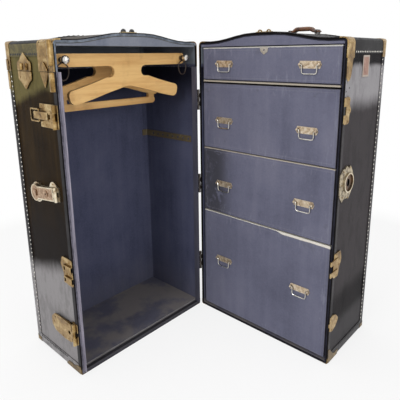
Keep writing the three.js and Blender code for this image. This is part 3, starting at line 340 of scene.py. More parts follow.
# Pits, and painted shade in the hollows of nickel
NICKEL_PITS_AND_SHADE = shade(70, 58, 46)
TONGUE_LILAC = (shade(120, 116, 130), shade(160, 155, 170), shade(188, 183, 192))
TONGUE_DARK = shade(58, 60, 74)
TONGUE_CHIPS = shade(84, 76, 78)
TONGUE_FOOT = shade(34, 32, 36)
WOOD = (shade(230, 175, 106), shade(252, 206, 136))
PLY_LAYERS = shade(132, 92, 52)
WOOD_STAINS = shade(170, 116, 62)
# Painted shade along the wood's edges, with the darker ply edge
WOOD_EDGES_AND_SHADE = shade(128, 84, 44)
RAW_WOOD = (shade(150, 118, 82), shade(196, 168, 128))
BLOT = shade(46, 45, 48)
CLOTH_WORN = shade(84, 86, 88)
CLOTH_SCUFFS = shade(146, 146, 160)
CLOTH_BORDER = shade(140, 138, 148)
CLOTH_FRAYED = shade(66, 60, 58)
# Painted shade in the gaps at the dividers' front edges
DIVIDER_GAP_SHADE = shade(24, 22, 24)
CREAM = shade(186, 176, 160)
CHALK = shade(232, 226, 214)
HASP_BROWN = (shade(104, 74, 50), shade(158, 124, 96), shade(196, 168, 138))
KEEPER_BROWN = (shade(52, 38, 28), shade(138, 108, 80))
KEEPER_DULL = (shade(84, 70, 54), shade(196, 182, 154))
# Painted shade of the keeper's hole
KEEPER_HOLE_SHADE = shade(18, 13, 10)
LEATHER = (shade(62, 36, 24), shade(112, 70, 44))
LEATHER_WORN = shade(158, 112, 74)


# Finishes

def lining_look(finish, tones):
    """Blue-grey paper or cloth: its colour, roughness and height."""
    broad = finish.cloud(5, 4, 0.6)
    fine = finish.cloud(160, 3, 0.7)
    streak = finish.cloud(5, 4, 0.6, (5, 5, 0.4))
    flecks = finish.cloud(75, 6, 0.8).between(0.64, 0.7)
    tone = broad * 0.45 + streak * 0.3 + fine * 0.25
    colour = finish.tint(tone, tones, 0.36, 0.5, 0.66)
    colour = finish.blend(flecks * 0.35, colour, LINT)
    height = finish.weave(0.9) * 0.25 + fine * 0.45 + broad * 0.3
    return colour, 0.62 + 0.25 * fine, height


def cloth_finish(name, tones):
    finish = Finish(name, IOR=1.45, Specular_IOR_Level=0.4)
    return finish.show(*lining_look(finish, tones))


def with_sheen_bands(finish, colour, height, sheen_bands):
    """A colour with soft bands over it, mostly painted sheen and painted reflection, each with its colour,
    foot, head and strength.
    """
    for sheen, foot, head, strength in sheen_bands:
        here = height.between(*foot) * (1 - height.between(*head))
        colour = finish.blend(here * strength, colour, sheen)
    return colour


def case_finish(name, half, tones, sheen_bands, lean, rim, roof_line):
    """Varnished canvas outside, with leaning bands of painted sheen and painted reflection and a rubbed rim,
    and paper inside.
    """
    finish = Finish(name, IOR=1.09, Specular_IOR_Level=0.3)
    across, inward, up = half_parts(finish, half)
    inside = facing_in(finish, half)
    broad = finish.cloud(7, 5, 0.6)
    fine = finish.cloud(90, 4, 0.7)
    streak = finish.cloud(10, 5, 0.65, (6, 6, 0.35))
    scuff = finish.cloud(26, 6, 0.75, (1, 1, 0.3)).between(0.6, 0.72)
    mottle = finish.cloud(24, 5, 0.7, (1, 1, 0.4)).between(0.46, 0.62)
    canvas = finish.tint(streak * 0.6 + broad * 0.4, tones, 0.38, 0.64)
    # The sides, not the roof, get leaning bands of painted sheen and painted reflection
    sheen_height = up + (broad - 0.5) * 35 + (streak - 0.5) * 20 + (inward - 150) * lean
    on_roof = finish.parts("Normal")[2].between(0.3, 0.85)
    canvas = finish.blend(on_roof, with_sheen_bands(finish, canvas, sheen_height, sheen_bands), canvas)
    canvas = finish.blend(mottle * 0.22, canvas, tones[0])
    canvas = finish.blend(scuff * 0.25, canvas, FIBRE_GREY)

    # The rim round the opening is black, and rubbed in a line down the lock side and under the roof. Corners
    # and recesses get the same black as painted shade
    edge = inward < 0.8
    canvas = finish.blend(edge | finish.crevice(7) * 0.8, canvas, RIM_BLACK_AND_CREVICE_SHADE)
    from_lock = across if half is hanging else WIDTH - across
    from_side = across & (WIDTH - across)
    roof = SHOULDER + RIDGE_RISE * from_side.between(SHOULDER_RUN, (WIDTH - RIDGE_FLAT) / 2)
    under_roof = roof - up
    down_side = (from_lock < 10.5) * (from_lock > 5.2) * (under_roof > 12)
    line = down_side | (under_roof < 12.5) * (under_roof > roof_line)
    rubbed = 0.55 + 0.45 * finish.cloud(40, 5, 0.7).between(0.4, 0.6)
    canvas = finish.blend(edge * line * rubbed, canvas, rim)
    canvas = finish.blend(edge * (up < 22.5) * 0.35, canvas, rim)

    # The paper is stained on the floor, has painted shade below the seam and towards the hinges, and is
    # painted a paler slate above the seam, as light in the lid
    floor = (1 - up.between(22.2, 23.2)) * inside
    risen = inside * (1 - up.between(20, 200)) * (streak * 0.3)
    stain = floor * (0.3 + 0.7 * broad.between(0.38, 0.56)) | risen
    paper, paper_rough, paper_height = lining_look(finish, INNER_PAPER)
    paper = finish.blend(stain * 0.85, paper, FLOOR_WORN)
    paper = finish.blend(up.between(800, 920) * (1 - up.between(945, 955)) * 0.85, paper, SEAM_SHADOW)
    # Painted light: the paper in the lid is paler
    paper = finish.blend(up.between(955, 965) * 0.9, paper, LID_PAPER_LIT)
    # Painted shade on the hinge wall
    hinge_wall = across > WIDTH - 30
    paper = finish.blend(hinge_wall * up.between(620, 900) * 0.4, paper, HINGE_WALL_SHADE)

    canvas_rough = 0.24 + 0.22 * streak + 0.3 * scuff
    canvas_height = finish.weave(1.1) * 0.3 + fine * 0.5 + scuff * 0.2
    return finish.show(
        finish.blend(inside, canvas, paper), canvas_rough * (1 - inside) + paper_rough * inside,
        canvas_height * (1 - inside) + paper_height * inside, 0.22,
    )


def brass_look(finish, tones=BRASS_TONES, grain=32):
    """Worn brass plate: its colour, roughness and height."""
    broad = finish.cloud(grain, 5, 0.62, warp=0.6)
    fine = finish.cloud(260, 4, 0.7)
    spots = finish.cloud(70, 5, 0.8).between(0.58, 0.7)
    # Darker in hollows and corners: grime, and painted shade
    grime_and_shade = finish.crevice(6)
    colour = finish.tint(broad * 0.8 + fine * 0.2, tones, 0.3, 0.5, 0.72)
    colour = finish.blend((spots * 0.25 + grime_and_shade * 1.3) & 0.95, colour, BRASS_GRIME_AND_SHADE)
    # Pale edges: painted highlight, with some rubbed wear
    colour = finish.blend(finish.edges(0.9) * 0.75, colour, tones[2])
    return colour, 0.22 + 0.2 * broad + 0.2 * spots + 0.2 * grime_and_shade, fine


def brass_finish(name, tones=BRASS_TONES, grain=32, metal=1.0):
    finish = Finish(name, Metallic=metal)
    colour, rough, fine = brass_look(finish, tones, grain)
    return finish.show(colour, rough, fine * 0.4 + finish.cloud(60, 3, 0.6) * 0.6, 0.3)


def binding_finish(name, half, top_depth, top_foot, sheen_bands, sheen_from):
    """Black fibre strips, with brass where the corner caps and lid hinges stand on them."""
    finish = Finish(name, IOR=1.25, Specular_IOR_Level=0.35)
    across, inward, up = half_parts(finish, half)
    side = across & (WIDTH - across)

    # Each cap's own size and a little more
    slack = 0.3
    back = inward > 255 - slack
    feet = ((inward < 72 + slack) | back) & (up < 20 + slack)
    tops = ((inward < top_depth + slack) | back) & (up > top_foot - slack)
    leaves = inward > DEPTH + slack
    caps = ((side < 26 + slack) & (feet | tops)) | leaves

    broad = finish.cloud(12, 5, 0.65)
    fine = finish.cloud(150, 4, 0.7)
    chips = finish.cloud(48, 6, 0.8, warp=0.8).between(0.6, 0.68)
    rubbed = finish.cloud(14, 5, 0.7, (1, 1, 0.25)).between(0.5, 0.68)
    fibre = finish.tint(broad * 0.6 + fine * 0.4, FIBRE, 0.4, 0.66)
    fibre = finish.blend(rubbed * 0.3 | chips * 0.4, fibre, FIBRE_GREY)
    mottle = finish.cloud(26, 5, 0.7, warp=1.5).between(0.42, 0.6)
    # Bands of painted sheen and painted reflection on the side faces, mottled
    sheen = with_sheen_bands(finish, fibre, up + (broad - 0.5) * 50, sheen_bands)
    sheen = finish.blend(mottle * 0.45, sheen, fibre)
    fibre = finish.blend((side < 1.2) * (inward > sheen_from), fibre, sheen)
    metal, metal_rough, metal_fine = brass_look(finish)
    metal = finish.blend(feet * 0.6, metal, FOOT_BRASS)
    rough = (0.3 + 0.25 * rubbed + 0.2 * fine) * (1 - caps) + metal_rough * caps
    height = (fine * 0.6 + chips * 0.4) * (1 - caps) + metal_fine * caps
    return finish.show(finish.blend(caps, fibre, metal), rough, height, 0.25, Metallic=caps)


def peak_finish(name):
    """A brass plate with black studs."""
    finish = Finish(name)
    studs = finish.parts()[2] > (roof_at(WIDTH / 2) + 2.6) * MM
    colour, rough, fine = brass_look(finish, PEAK_TONES)
    black = finish.tint(fine, STUD_BLACK, 0.3, 0.7)
    return finish.show(finish.blend(studs, colour, black), rough, fine, Metallic=1 - studs)


def nickel_finish(name, bright):
    finish = Finish(name, Metallic=1.0)
    broad = finish.cloud(40, 5, 0.65)
    fine = finish.cloud(300, 3, 0.7)
    # Darker in hollows and corners: grime, and painted shade
    grime_and_shade = finish.crevice(5)
    pits = finish.cloud(140, 5, 0.8).between(0.55, 0.72)
    colour = finish.tint(broad * 0.7 + fine * 0.3, NICKEL, 0.3, 0.5 - bright * 0.1)
    colour = finish.blend((pits * (0.6 - bright * 0.4) + grime_and_shade * 0.7) & 0.9, colour, NICKEL_PITS_AND_SHADE)
    return finish.show(colour, 0.16 + (0.3 - bright * 0.15) * broad + 0.2 * pits, fine, 0.12)


def tongue_finish(name):
    """Lilac-grey steel, darker towards the hinges and black along the bottom."""
    finish = Finish(name, Specular_IOR_Level=0.5, Metallic=0.25)
    across, _, up = half_parts(finish, hanging)
    bottom = ((across & (WIDTH - across)) > 14.4) & (up < 20)
    streak = finish.cloud(30, 5, 0.7, (3, 3, 0.2))
    chips = finish.cloud(70, 6, 0.8, warp=1).between(0.6, 0.68)
    fine = finish.cloud(300, 3, 0.7)
    colour = finish.tint(streak, TONGUE_LILAC, 0.34, 0.5, 0.68)
    colour = finish.blend((across > WIDTH / 2) * (bottom < 0.5) * 0.85, colour, TONGUE_DARK)
    colour = finish.blend(chips * 0.8, colour, TONGUE_CHIPS)
    colour = finish.blend(bottom * 0.95, colour, TONGUE_FOOT)
    return finish.show(colour, 0.34 + 0.2 * streak + 0.2 * chips, fine * 0.5 + (1 - chips) * 0.5, 0.1)


def grain_look(finish, tones):
    """Wood with its grain from front to back: its colour and height."""
    rings = finish.cloud(70, 4, 0.6, (1, 0.06, 1), warp=0.1)
    pores = finish.cloud(500, 3, 0.7, (1, 0.06, 1))
    tone = rings * 0.6 + pores * 0.2 + finish.cloud(6, 3, 0.5) * 0.2
    return finish.tint(tone, tones, 0.34, 0.58), rings * 0.4 + pores * 0.6


def hanger_finish(name):
    """Varnished plywood. Its layers show along the edges."""
    finish = Finish(name, IOR=1.5, Specular_IOR_Level=0.45)
    colour, height = grain_look(finish, WOOD)
    edge = finish.parts("Normal")[0].size() < 0.5
    layers = (finish.parts()[0] * (math.tau / (2.4 * MM))).wave().between(-0.4, 0.4)
    colour = finish.blend(edge * layers * 0.55, colour, PLY_LAYERS)
    stains = finish.cloud(16, 4, 0.6).between(0.5, 0.75)
    colour = finish.blend(stains * 0.35, colour, WOOD_STAINS)
    # Darker along the edges: painted shade, and the darker ply edge
    colour = finish.blend(finish.edges(1.6) * 0.55, colour, WOOD_EDGES_AND_SHADE)
    return finish.show(colour, 0.32 + 0.18 * height, height, 0.15)


def drawer_finish(name, node, bare_depth, worn_depth, bare_tone, blot_strength):
    """A cloth-covered front, bare along its top edge, on a raw wooden box."""
    finish = Finish(name, IOR=1.45, Specular_IOR_Level=0.4)
    low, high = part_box(node)
    x, y, z = finish.parts()
    left, right, foot, head = [gap / MM for gap in (x - low.x, high.x - x, z - low.z, high.z - z)]
    front = y < low.y + 9.5 * MM
    rim = left & right & foot & head
    wear = finish.cloud(45, 5, 0.75, (0.5, 1, 1))
    frayed = 1 - (rim + wear * 4).between(2.2, 4.4)
    across = (x - drawers(0, 0, 0).x) / MM
    bare_here = 1.2 + bare_depth + worn_depth * across.between(340, 370)
    bare = 1 - (head + (wear - 0.5) * 6).between(bare_here, bare_here + 1.4)
    paper, rough, height = lining_look(finish, FRONT_CLOTH)
    stains = finish.cloud(13, 5, 0.65, warp=1.4).between(0.6, 0.75)
    paper = finish.blend(stains * 0.35, paper, FRONT_CLOTH[0])
    blot = (1 - left.between(60, 150)) * finish.cloud(20, 5, 0.7, warp=0.6).between(0.3, 0.48)
    paper = finish.blend(blot * blot_strength, paper, BLOT)
    worn_here = 1 - rim.between(12, 45)
    scuffs = finish.cloud(60, 5, 0.75, (1.4, 1, 0.3)).between(0.54, 0.66)
    paper = finish.blend(worn_here * stains * 0.5, paper, CLOTH_WORN)
    paper = finish.blend(worn_here * scuffs * 0.3, paper, CLOTH_SCUFFS)
    border = rim.between(9, 10.5) * (1 - rim.between(10.5, 12))
    paper = finish.blend(border * 0.3, paper, CLOTH_BORDER)
    paper = finish.blend(frayed * 0.7, paper, CLOTH_FRAYED)
    paper = finish.blend(bare * 0.95, paper, bare_tone)
    wood, wood_height = grain_look(finish, RAW_WOOD)
    return finish.show(
        finish.blend(front, wood, paper), rough * front + 0.7 * (1 - front),
        height * front + wood_height * (1 - front),
    )


def frame_finish(name):
    """The drawer half's dividers: cloth with front edges painted black as the shade in the gaps, and one
    pale shelf edge.
    """
    finish = Finish(name, IOR=1.45)
    paper, rough, height = lining_look(finish, FRONT_CLOTH)
    _, inward, up = half_parts(finish, drawers)
    edge = (inward < 13.5) & (up < 1010)
    # Painted shade: the front edges are black as the gaps between the drawers
    paper = finish.blend(edge * 0.92, paper, DIVIDER_GAP_SHADE)
    shelf = edge & (up > 898.5) & (up < 904.5)
    paper = finish.blend(shelf * 0.85, paper, CREAM)
    return finish.show(paper, rough, height)


def hasp_finish(name):
    """A pale rim round a rosy brown middle."""
    finish = Finish(name, Metallic=1.0)
    _, inward, up = half_parts(finish, hanging)
    back = inward - LOCK_SETBACK
    rise = up - LOCK_HEIGHT
    along = rise * LOCK_RISE - back * LOCK_RUN
    beside = rise * LOCK_RUN + back * LOCK_RISE
    disc = 1 - along.away(beside).between(21, 23.5)
    strap = (1 - beside.size().between(15.5, 18)) * (along > 0) * (1 - along.between(104, 107))
    pale, rough, fine = brass_look(finish, PALE_TONES)
    brown = finish.tint(finish.cloud(70, 5, 0.7), HASP_BROWN, 0.36, 0.5, 0.64)
    return finish.show(finish.blend((disc | strap) * 0.9, pale, brown), rough, fine)


def keeper_finish(name):
    """A bright ring on a mottled plate with a brown middle, and a dark disc painted in it as the shade of a
    hole.
    """
    finish = Finish(name, Metallic=1.0)
    _, inward, up = half_parts(finish, drawers)
    away = (inward - KEEPER_SETBACK).away(up - KEEPER_HEIGHT)
    pale, rough, fine = brass_look(finish, PALE_TONES)
    brown = finish.tint(finish.cloud(60, 5, 0.7), KEEPER_BROWN, 0.36, 0.64)
    dull = finish.tint(finish.cloud(70, 5, 0.75), KEEPER_DULL, 0.38, 0.6)
    colour = finish.blend(1 - away.between(26.2, 27.5), pale, brown)
    colour = finish.blend(away.between(30.5, 32), colour, dull)
    # Painted shade of a hole in the middle
    colour = finish.blend(1 - away.between(10.5, 12.5), colour, KEEPER_HOLE_SHADE)
    return finish.show(colour, rough, fine)


def plaque_finish(name):
    """Reddish brown with a pale border."""
    finish = Finish(name, Metallic=1.0)
    low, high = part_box("plaque")
    _, y, z = finish.parts()
    rim = (y - low.y) & (high.y - y) & (z - low.z) & (high.z - z)
    copper, rough, fine = brass_look(finish, COPPER_TONES)
    colour = finish.blend(1 - (rim / MM).between(4, 6.5), copper, PLAQUE_BORDER)
    return finish.show(colour, rough, fine)


def leather_finish(name):
    finish = Finish(name, Specular_IOR_Level=0.45)
    grain = finish.node("TexVoronoi", {}, {"Vector": finish.place(), "Scale": 900})
    folds = finish.cloud(70, 4, 0.6)
    worn = finish.cloud(38, 5, 0.7).between(0.5, 0.66)
    colour = finish.tint(folds, LEATHER, 0.35, 0.65)
    colour = finish.blend(worn * 0.4, colour, LEATHER_WORN)
    return finish.show(colour, 0.42 + 0.25 * worn, grain * 0.6 + folds * 0.4, 0.4)


def paint_finish(name, colour, pale, rough):
    """A plain hard finish with a little wear, for small fittings."""
    finish = Finish(name)
    broad = finish.cloud(60, 5, 0.7)
    worn = finish.blend(broad.between(0.56, 0.7) * 0.5, colour, pale)
    return finish.show(worn, rough + 0.2 * broad, finish.cloud(400, 3, 0.7), 0.12)


# Shapes, each as its points and faces

def gathered(shapes):
    """Several shapes as one."""
    points, faces = [], []
    for more_points, more_faces in shapes:
        start = len(points)
        points += more_points
        faces += [[start + corner for corner in face] for face in more_faces]
    return points, faces


def walls(rings, sides):
    """The faces between rings of points, one after the other."""
    faces = []
    for ring in range(rings - 1):
        for side in range(sides):
            here, after = ring * sides + side, ring * sides + (side + 1) % sides
            faces.append([here, after, after + sides, here + sides])
    return faces


def tube(points, sides):
    """Rings of points with walls between them and both ends closed."""
    last = len(points) - sides
    ends = [list(range(sides))[::-1], list(range(last, last + sides))]
    return points, walls(len(points) // sides, sides) + ends


def domes(surface, places, head, start, sides=12, rings=3):
    """Domed heads of one radius and rise at places on a surface."""
    radius, rise = head
    shapes = []
    for along, up in places:
        points = []
        for ring in range(rings):
            lean = math.pi / 2 * ring / rings
            reach = radius * math.cos(lean)
            out = start + rise * math.sin(lean)
            for side in range(sides):
                turn = math.tau * side / sides
                points.append(surface(along + reach * math.cos(turn), up + reach * math.sin(turn), out))
        points.append(surface(along, up, start + rise))
        last = (rings - 1) * sides
        cap = [[last + side, last + (side + 1) % sides, rings * sides] for side in range(sides)]
        shapes.append((points, walls(rings, sides) + cap + [list(range(sides))[::-1]]))
    return gathered(shapes)


def slab(surface, corners, bottom, top):
    """An outline on a surface as a plate from one height to another."""
    return tube([surface(along, up, out) for out in (bottom, top) for along, up in corners], len(corners))


def bead(surface, start, end, half_width, rise, out=0):
    """A half-round roll along a line on a surface, with closed ends."""
    sides = 8
    start, end = Vector(start), Vector(end)
    along = (end - start).normalized()
    across = Vector((-along.y, along.x))
    points = []
    for place in (start, end):
        for side in range(sides + 1):
            turn = math.pi * side / sides
            spot = place + across * half_width * math.cos(turn)
            points.append(surface(spot.x, spot.y, out + rise * math.sin(turn)))
    return tube(points, sides + 1)


def band(surface, spans, bottom, top):
    """A plate that bends along a surface, from places along with its lower and upper edge at each."""
    points = []
    for along, low, high in spans:
        ring = ((low, bottom), (high, bottom), (high, top), (low, top))
        points += [surface(along, up, out) for up, out in ring]
    return tube(points, 4)


def row(start, end, pitch):
    """Places in a line from one to another, about a pitch apart."""
    count = max(round(math.dist(start, end) / pitch), 1)
    return [[a + (b - a) * step / count for a, b in zip(start, end)] for step in range(count + 1)]


def curved(corners, radius=5, steps=4):
    """An outline with rounded corners."""
    made = []
    for index, here in enumerate(corners):
        here = Vector(here)
        before = Vector(corners[index - 1]) - here
        after = Vector(corners[(index + 1) % len(corners)]) - here
        reach = min(radius, before.length * 0.48, after.length * 0.48)
        start = here + before.normalized() * reach
        end = here + after.normalized() * reach
        for step in range(steps + 1):
            share = step / steps
            point = start * (1 - share) ** 2 + here * 2 * share * (1 - share) + end * share ** 2
            made.append(point)
    return made


def placed(name, data):
    """An object in the scene."""
    made = bpy.data.objects.new(name, data)
    scene.collection.objects.link(made)
    return made


def piece(name, shape, body, finish, smooth=True, rounding=0):
    """A shape as a mesh that rides on a body, with its sharp edges rounded by this much."""
    points, faces = shape
    mesh = bpy.data.meshes.new(name)
    mesh.from_pydata(points, [], faces)
    mesh.validate()
    made = placed(name, mesh)
    cleaned = bmesh.new()
    cleaned.from_mesh(mesh)
    bmesh.ops.remove_doubles(cleaned, verts=cleaned.verts, dist=1e-6)
    bmesh.ops.recalc_face_normals(cleaned, faces=cleaned.faces)
    cleaned.to_mesh(mesh)
    cleaned.free()
    for polygon in mesh.polygons:
        polygon.use_smooth = smooth
    mesh.materials.append(finish)
    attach(made, body)
    if rounding:
        bevel = made.modifiers.new("rounded", "BEVEL")
        bevel.width = rounding * MM
        bevel.segments = 2
        bevel.angle_limit = math.radians(40)
        made.modifiers.new("even", "WEIGHTED_NORMAL")
    return made


# Finishes of the CAD pieces

brass = brass_finish("worn_brass")
old_brass = brass_finish("old_brass", OLD_TONES, grain=60)
bronze = brass_finish("dull_bronze", BRONZE_TONES, grain=90, metal=0.5)
hinge_steel = brass_finish("hinge_steel", STEEL_TONES, grain=60)
nickel = nickel_finish("worn_nickel", 0.2)
bright = nickel_finish("bright_nickel", 1.0)
hanger_wood = hanger_finish("hanger_plywood")
leather = leather_finish("handle_leather")
dark_stud = paint_finish("dark_stud", shade(26, 25, 28), shade(84, 76, 66), 0.35)
thread = paint_finish("waxed_thread", shade(170, 140, 100), shade(110, 84, 56), 0.7)
loop_metal = paint_finish("dark_wire", shade(52, 40, 32), shade(112, 100, 90), 0.35)
divider_cloth = cloth_finish("gable_cloth", FRONT_CLOTH)
# The lid's gable cloth, painted paler than the front cloth as light for its shaded place
lid_cloth_lit = cloth_finish("lid_gable_cloth_lit", LID_CLOTH_LIT)

# Bands of painted sheen and painted reflection, and a darker foot: a colour, where it sets in, where it
# ends, and its strength
FROM_FLOOR = (-1000, -900)
TO_ROOF = (2000, 3000)
# Painted reflection of the floor, low on the hanging half's lock side
floor_reflection = (GREY_FLOOR_REFLECTION, FROM_FLOOR, (300, 360), 0.95)
dark_foot = (BLACK_CANVAS[0], FROM_FLOOR, (440, 600), 0.75)
# Painted olive sheen, high on the hanging half and its lid
olive_sheen_band = (OLIVE_SHEEN, (865, 895), TO_ROOF, 0.85)
# Painted sheen and painted reflection bands on the drawer half's sides
drawer_side_sheen = [
    (shade(76, 72, 74), (200, 270), (950, 965), 0.85),
    (shade(170, 167, 170), (815, 875), (945, 965), 0.92),
    (shade(86, 84, 86), FROM_FLOOR, (100, 160), 0.7),
]
LEAN = 0.25
own_finish = {
    "hanging_shell": case_finish(
        "hanging_canvas", hanging, BROWN_CANVAS, [dark_foot, floor_reflection, olive_sheen_band], LEAN, shade(122, 120, 132), 4,
    ),
    "lid_shell": case_finish("lid_canvas", hanging, BROWN_CANVAS, [olive_sheen_band], LEAN, shade(134, 142, 154), 3),
    "drawer_shell": case_finish("drawer_canvas", drawers, BLACK_CANVAS, drawer_side_sheen, 0, shade(46, 46, 56), 7),
    "hanging_binding": binding_finish("hanging_fibre", hanging, 82, SEAM, [floor_reflection, olive_sheen_band], 14.5),
    "lid_binding": binding_finish("lid_fibre", hanging, 82, SEAM, [olive_sheen_band], 1),
    "drawer_binding": binding_finish("drawer_fibre", drawers, 44, SHOULDER - 56, drawer_side_sheen, 1),
    "hanging_tongue": tongue_finish("tongue_steel"),
    "drawer_frame": frame_finish("divider_cloth"),
    "drawer_escutcheon": nickel,
    "ratchet_strip": paint_finish("ratchet_paint", shade(92, 80, 56), shade(170, 150, 108), 0.4),
    "lock_plate": brass_finish("pale_lock_brass", PALE_TONES),
    "lock_hasp": hasp_finish("hasp_brass"),
    "lock_keeper": keeper_finish("keeper_brass"),
    "plaque": plaque_finish("plaque_copper"),
    "lid_peak_plate": peak_finish("peak_plate_brass"),
}

# How deep each front is bare along its top, how much deeper on the right, in what tone, and its blot
drawer_wear = {
    "drawer_bottom": (0, 6.5, CHALK, 0.08),
    "drawer_low": (0.8, 0, CREAM, 0.8),
    "drawer_middle": (-4, 0, CREAM, 0.08),
    "drawer_top": (1.8, 0, shade(198, 196, 190), 0.08),
}
for name, wear in drawer_wear.items():
    own_finish[name] = drawer_finish(name + "_cloth", name, *wear)
shared_finish = [
    ("hinge_", hinge_steel), ("_bail_", nickel), ("_pull_", bronze), ("hanger_", hanger_wood),
    ("rail_loop_", loop_metal), ("handle_post_", loop_metal), ("rail_", bright),
]
for name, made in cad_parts.items():
    shared = (finish for part, finish in shared_finish if part in name)
    made.data.materials.clear()
    made.data.materials.append(own_finish.get(name) or next(shared, brass))

# Heads of nails, rivets and screws: their radius and rise
NAIL = (2.9, 1.6)
STUD = (2.9 * 1.35, 1.6)
STUD_CAP = (8.4, 9.6)
CAP_NAIL = (2.2, 1.1)
RIVET = (2.6, 1.5)
SCREW = (2.7, 1.0)
PULL_SCREW = (2.4, 1.1)
# Dark discs painted as the shade of empty screw holes
SCREW_HOLE_SHADE = (2.6, 0.25)

# How far out from a face the heads and plates begin
SUNK = -0.1
PLATE_FOOT = 0.1
ON_PLATE = 2.2

# Nails: each row's face, its ends and its pitch
nail_rows = [
    ("hanging_half", hanging, nickel, [
        (lock_side, (255, 46), (258, 932), 15),
        (hinge_side, (255, 46), (258, 932), 15),
        (hinge_side, (84, 30), (246, 30), 14),
        (back_side, (30, 46), (30, 904), 15),
        (back_side, (525, 46), (525, 904), 15),
        (back_side, (44, 30), (511, 30), 15),
    ]),
    ("hanging_half", hanging, dark_stud, [(lock_side, (84, 30), (246, 30), 11)]),
    ("lid", hanging, dark_stud, [
        (lock_side, (86, 997), (250, 997), 12),
        (hinge_side, (90, 996), (250, 996), 12),
        (back_side, (80, 996), (475, 996), 18),
        (roof_side, (40, 254), (515, 254), 18),
    ]),
    ("drawer_half", drawers, nickel, [
        (lock_side, (258, 46), (258, 972), 15),
        (hinge_side, (258, 46), (258, 972), 15),
        (hinge_side, (84, 30), (246, 30), 15),
        (lock_side, (56, 996), (246, 996), 12.5),
        (hinge_side, (56, 996), (246, 996), 15),
        (back_side, (30, 46), (30, 972), 15),
        (back_side, (525, 46), (525, 972), 15),
        (back_side, (44, 30), (511, 30), 15),
        (back_side, (44, 996), (511, 996), 15),
        (roof_side, (40, 264), (515, 264), 18),
    ]),
    ("drawer_half", drawers, dark_stud, [(lock_side, (84, 30), (246, 30), 11)]),
]
for body, half, finish, rows in nail_rows:
    head = STUD if finish is dark_stud else NAIL
    nails = gathered(
        domes(face(half), row(start, end, pitch), head, SUNK, sides=10)
        for face, start, end, pitch in rows
    )
    piece(f"{body}_{finish.name}_nails", nails, body, finish)

# Lid clamps: dowel plates and rolls on the lock side, above and below the lid's seam
ABOVE_SEAM = SEAM + SEAM_GAP
BELOW_SEAM = SEAM - SEAM_GAP
left_face = lock_side(hanging)
right_face = lock_side(drawers)
for name, body, top, corners in (
    ("dowel_plate_upper", "lid", 3.4, [
        (124, ABOVE_SEAM), (124, 975), (137, 980), (165, 1004), (193, 980), (207, 975), (207, ABOVE_SEAM),
    ]),
    ("dowel_plate_lower", "hanging_half", 3.4, [
        (124, BELOW_SEAM), (126, 925), (139, 919), (165, 896), (191, 919), (205, 925), (207, BELOW_SEAM),
    ]),
    ("small_dowel_upper", "lid", 4.4, [(29, ABOVE_SEAM), (33, 958), (51, 978), (69, 958), (74, ABOVE_SEAM)]),
    ("small_dowel_lower", "hanging_half", 3.4, [
        (28, BELOW_SEAM), (33, 938), (51, 904), (69, 938), (74, BELOW_SEAM),
    ]),
):
    plate = slab(left_face, curved(corners), PLATE_FOOT, top)
    piece(name, plate, body, brass, smooth=False, rounding=0.9)

for name, body, foot, head in (("lid_roll", "lid", 966, 1034), ("clamp_roll", "hanging_half", 896, 948.6)):
    roll = bead(left_face, (13, foot), (13, head), 12.5, 8)
    piece(name, roll, body, brass, rounding=1.2)

# A dark ragged strip beside the clamps, painted shade in the seam between plate and roll
wave = [(952, 25.4), (962, 27.4), (974, 26), (986, 28.6), (998, 26.4), (1010, 28), (1030, 26)]
ragged = [(along, up) for up, along in wave] + [(along - 1.5, up) for up, along in reversed(wave)]
piece("clamp_seam_shade_upper", slab(left_face, ragged, 1.2, 1.7), "lid", dark_stud, smooth=False)
below = [(along, 2 * SEAM - up) for along, up in ragged if up < 1000]
piece("clamp_seam_shade_lower", slab(left_face, below, 0.05, 0.5), "hanging_half", dark_stud, smooth=False)

# Black caps on the peak plate's two studs
studs = [(WIDTH / 2 - 2.5, 9.4), (WIDTH / 2 - 34.5, 9.4)]
stud_caps = domes(roof_side(hanging), studs, STUD_CAP, 2, sides=18, rings=6)
piece("peak_stud_caps", stud_caps, "lid", dark_stud)

# Two bumps on the upper dowel plate
bumps = gathered(bead(left_face, (middle, 953), (middle, 972), 7.5, 6, 3) for middle in (149, 180))
piece("dowel_bumps", bumps, "lid", brass, rounding=0.8)

# Rivets, each group with how far out its plate stands
for name, body, face, start, places in (
    ("lid_rivets", "lid", left_face, 1, [
        (34, 1030), (72, 1030), (34, 992), (72, 992), (165, 992), (137, 966), (194, 966),
    ]),
    ("clamp_rivets", "hanging_half", left_face, 3.2, [(165, 908), (137, 932), (193, 932), (51, 918)]),
    ("drawbolt_rivets", "hanging_half", left_face, ON_PLATE, [
        (along, up) for along in (28, 66, 88) for up in (801, 854)
    ]),
    ("arm_rivets", "lower_drawbolt_arm", left_face, 10.4, [
        (42, 120), (42, 173), (74, 118), (74, 175), (126, 147),
    ]),
    ("socket_rivets", "hanging_half", left_face, ON_PLATE, [
        (12, 349), (30, 349), (46, 352), (14, 389), (44, 388), (24, 315.5),
    ]),
    ("lock_rivets", "hanging_half", left_face, ON_PLATE, [
        (LOCK_SETBACK - 103 * LOCK_RUN + 30 * LOCK_RISE, LOCK_HEIGHT + 103 * LOCK_RISE + 30 * LOCK_RUN),
    ]),
    ("keeper_rivets", "drawer_half", right_face, ON_PLATE, [
        (14, 610), (24, 650), (24, 570), (70, 655), (60, 562),
    ]),
    ("lug_rivets", "drawer_half", right_face, ON_PLATE, [
        (12, 389), (36, 386), (34, 349), (20, 316), (14, 124), (14, 170), (44, 147),
    ]),
    ("notch_rivets", "drawer_half", right_face, ON_PLATE, [(27, 801), (27, 864), (32, 833)]),
):
    piece(name, domes(face, places, RIVET, start), body, brass)

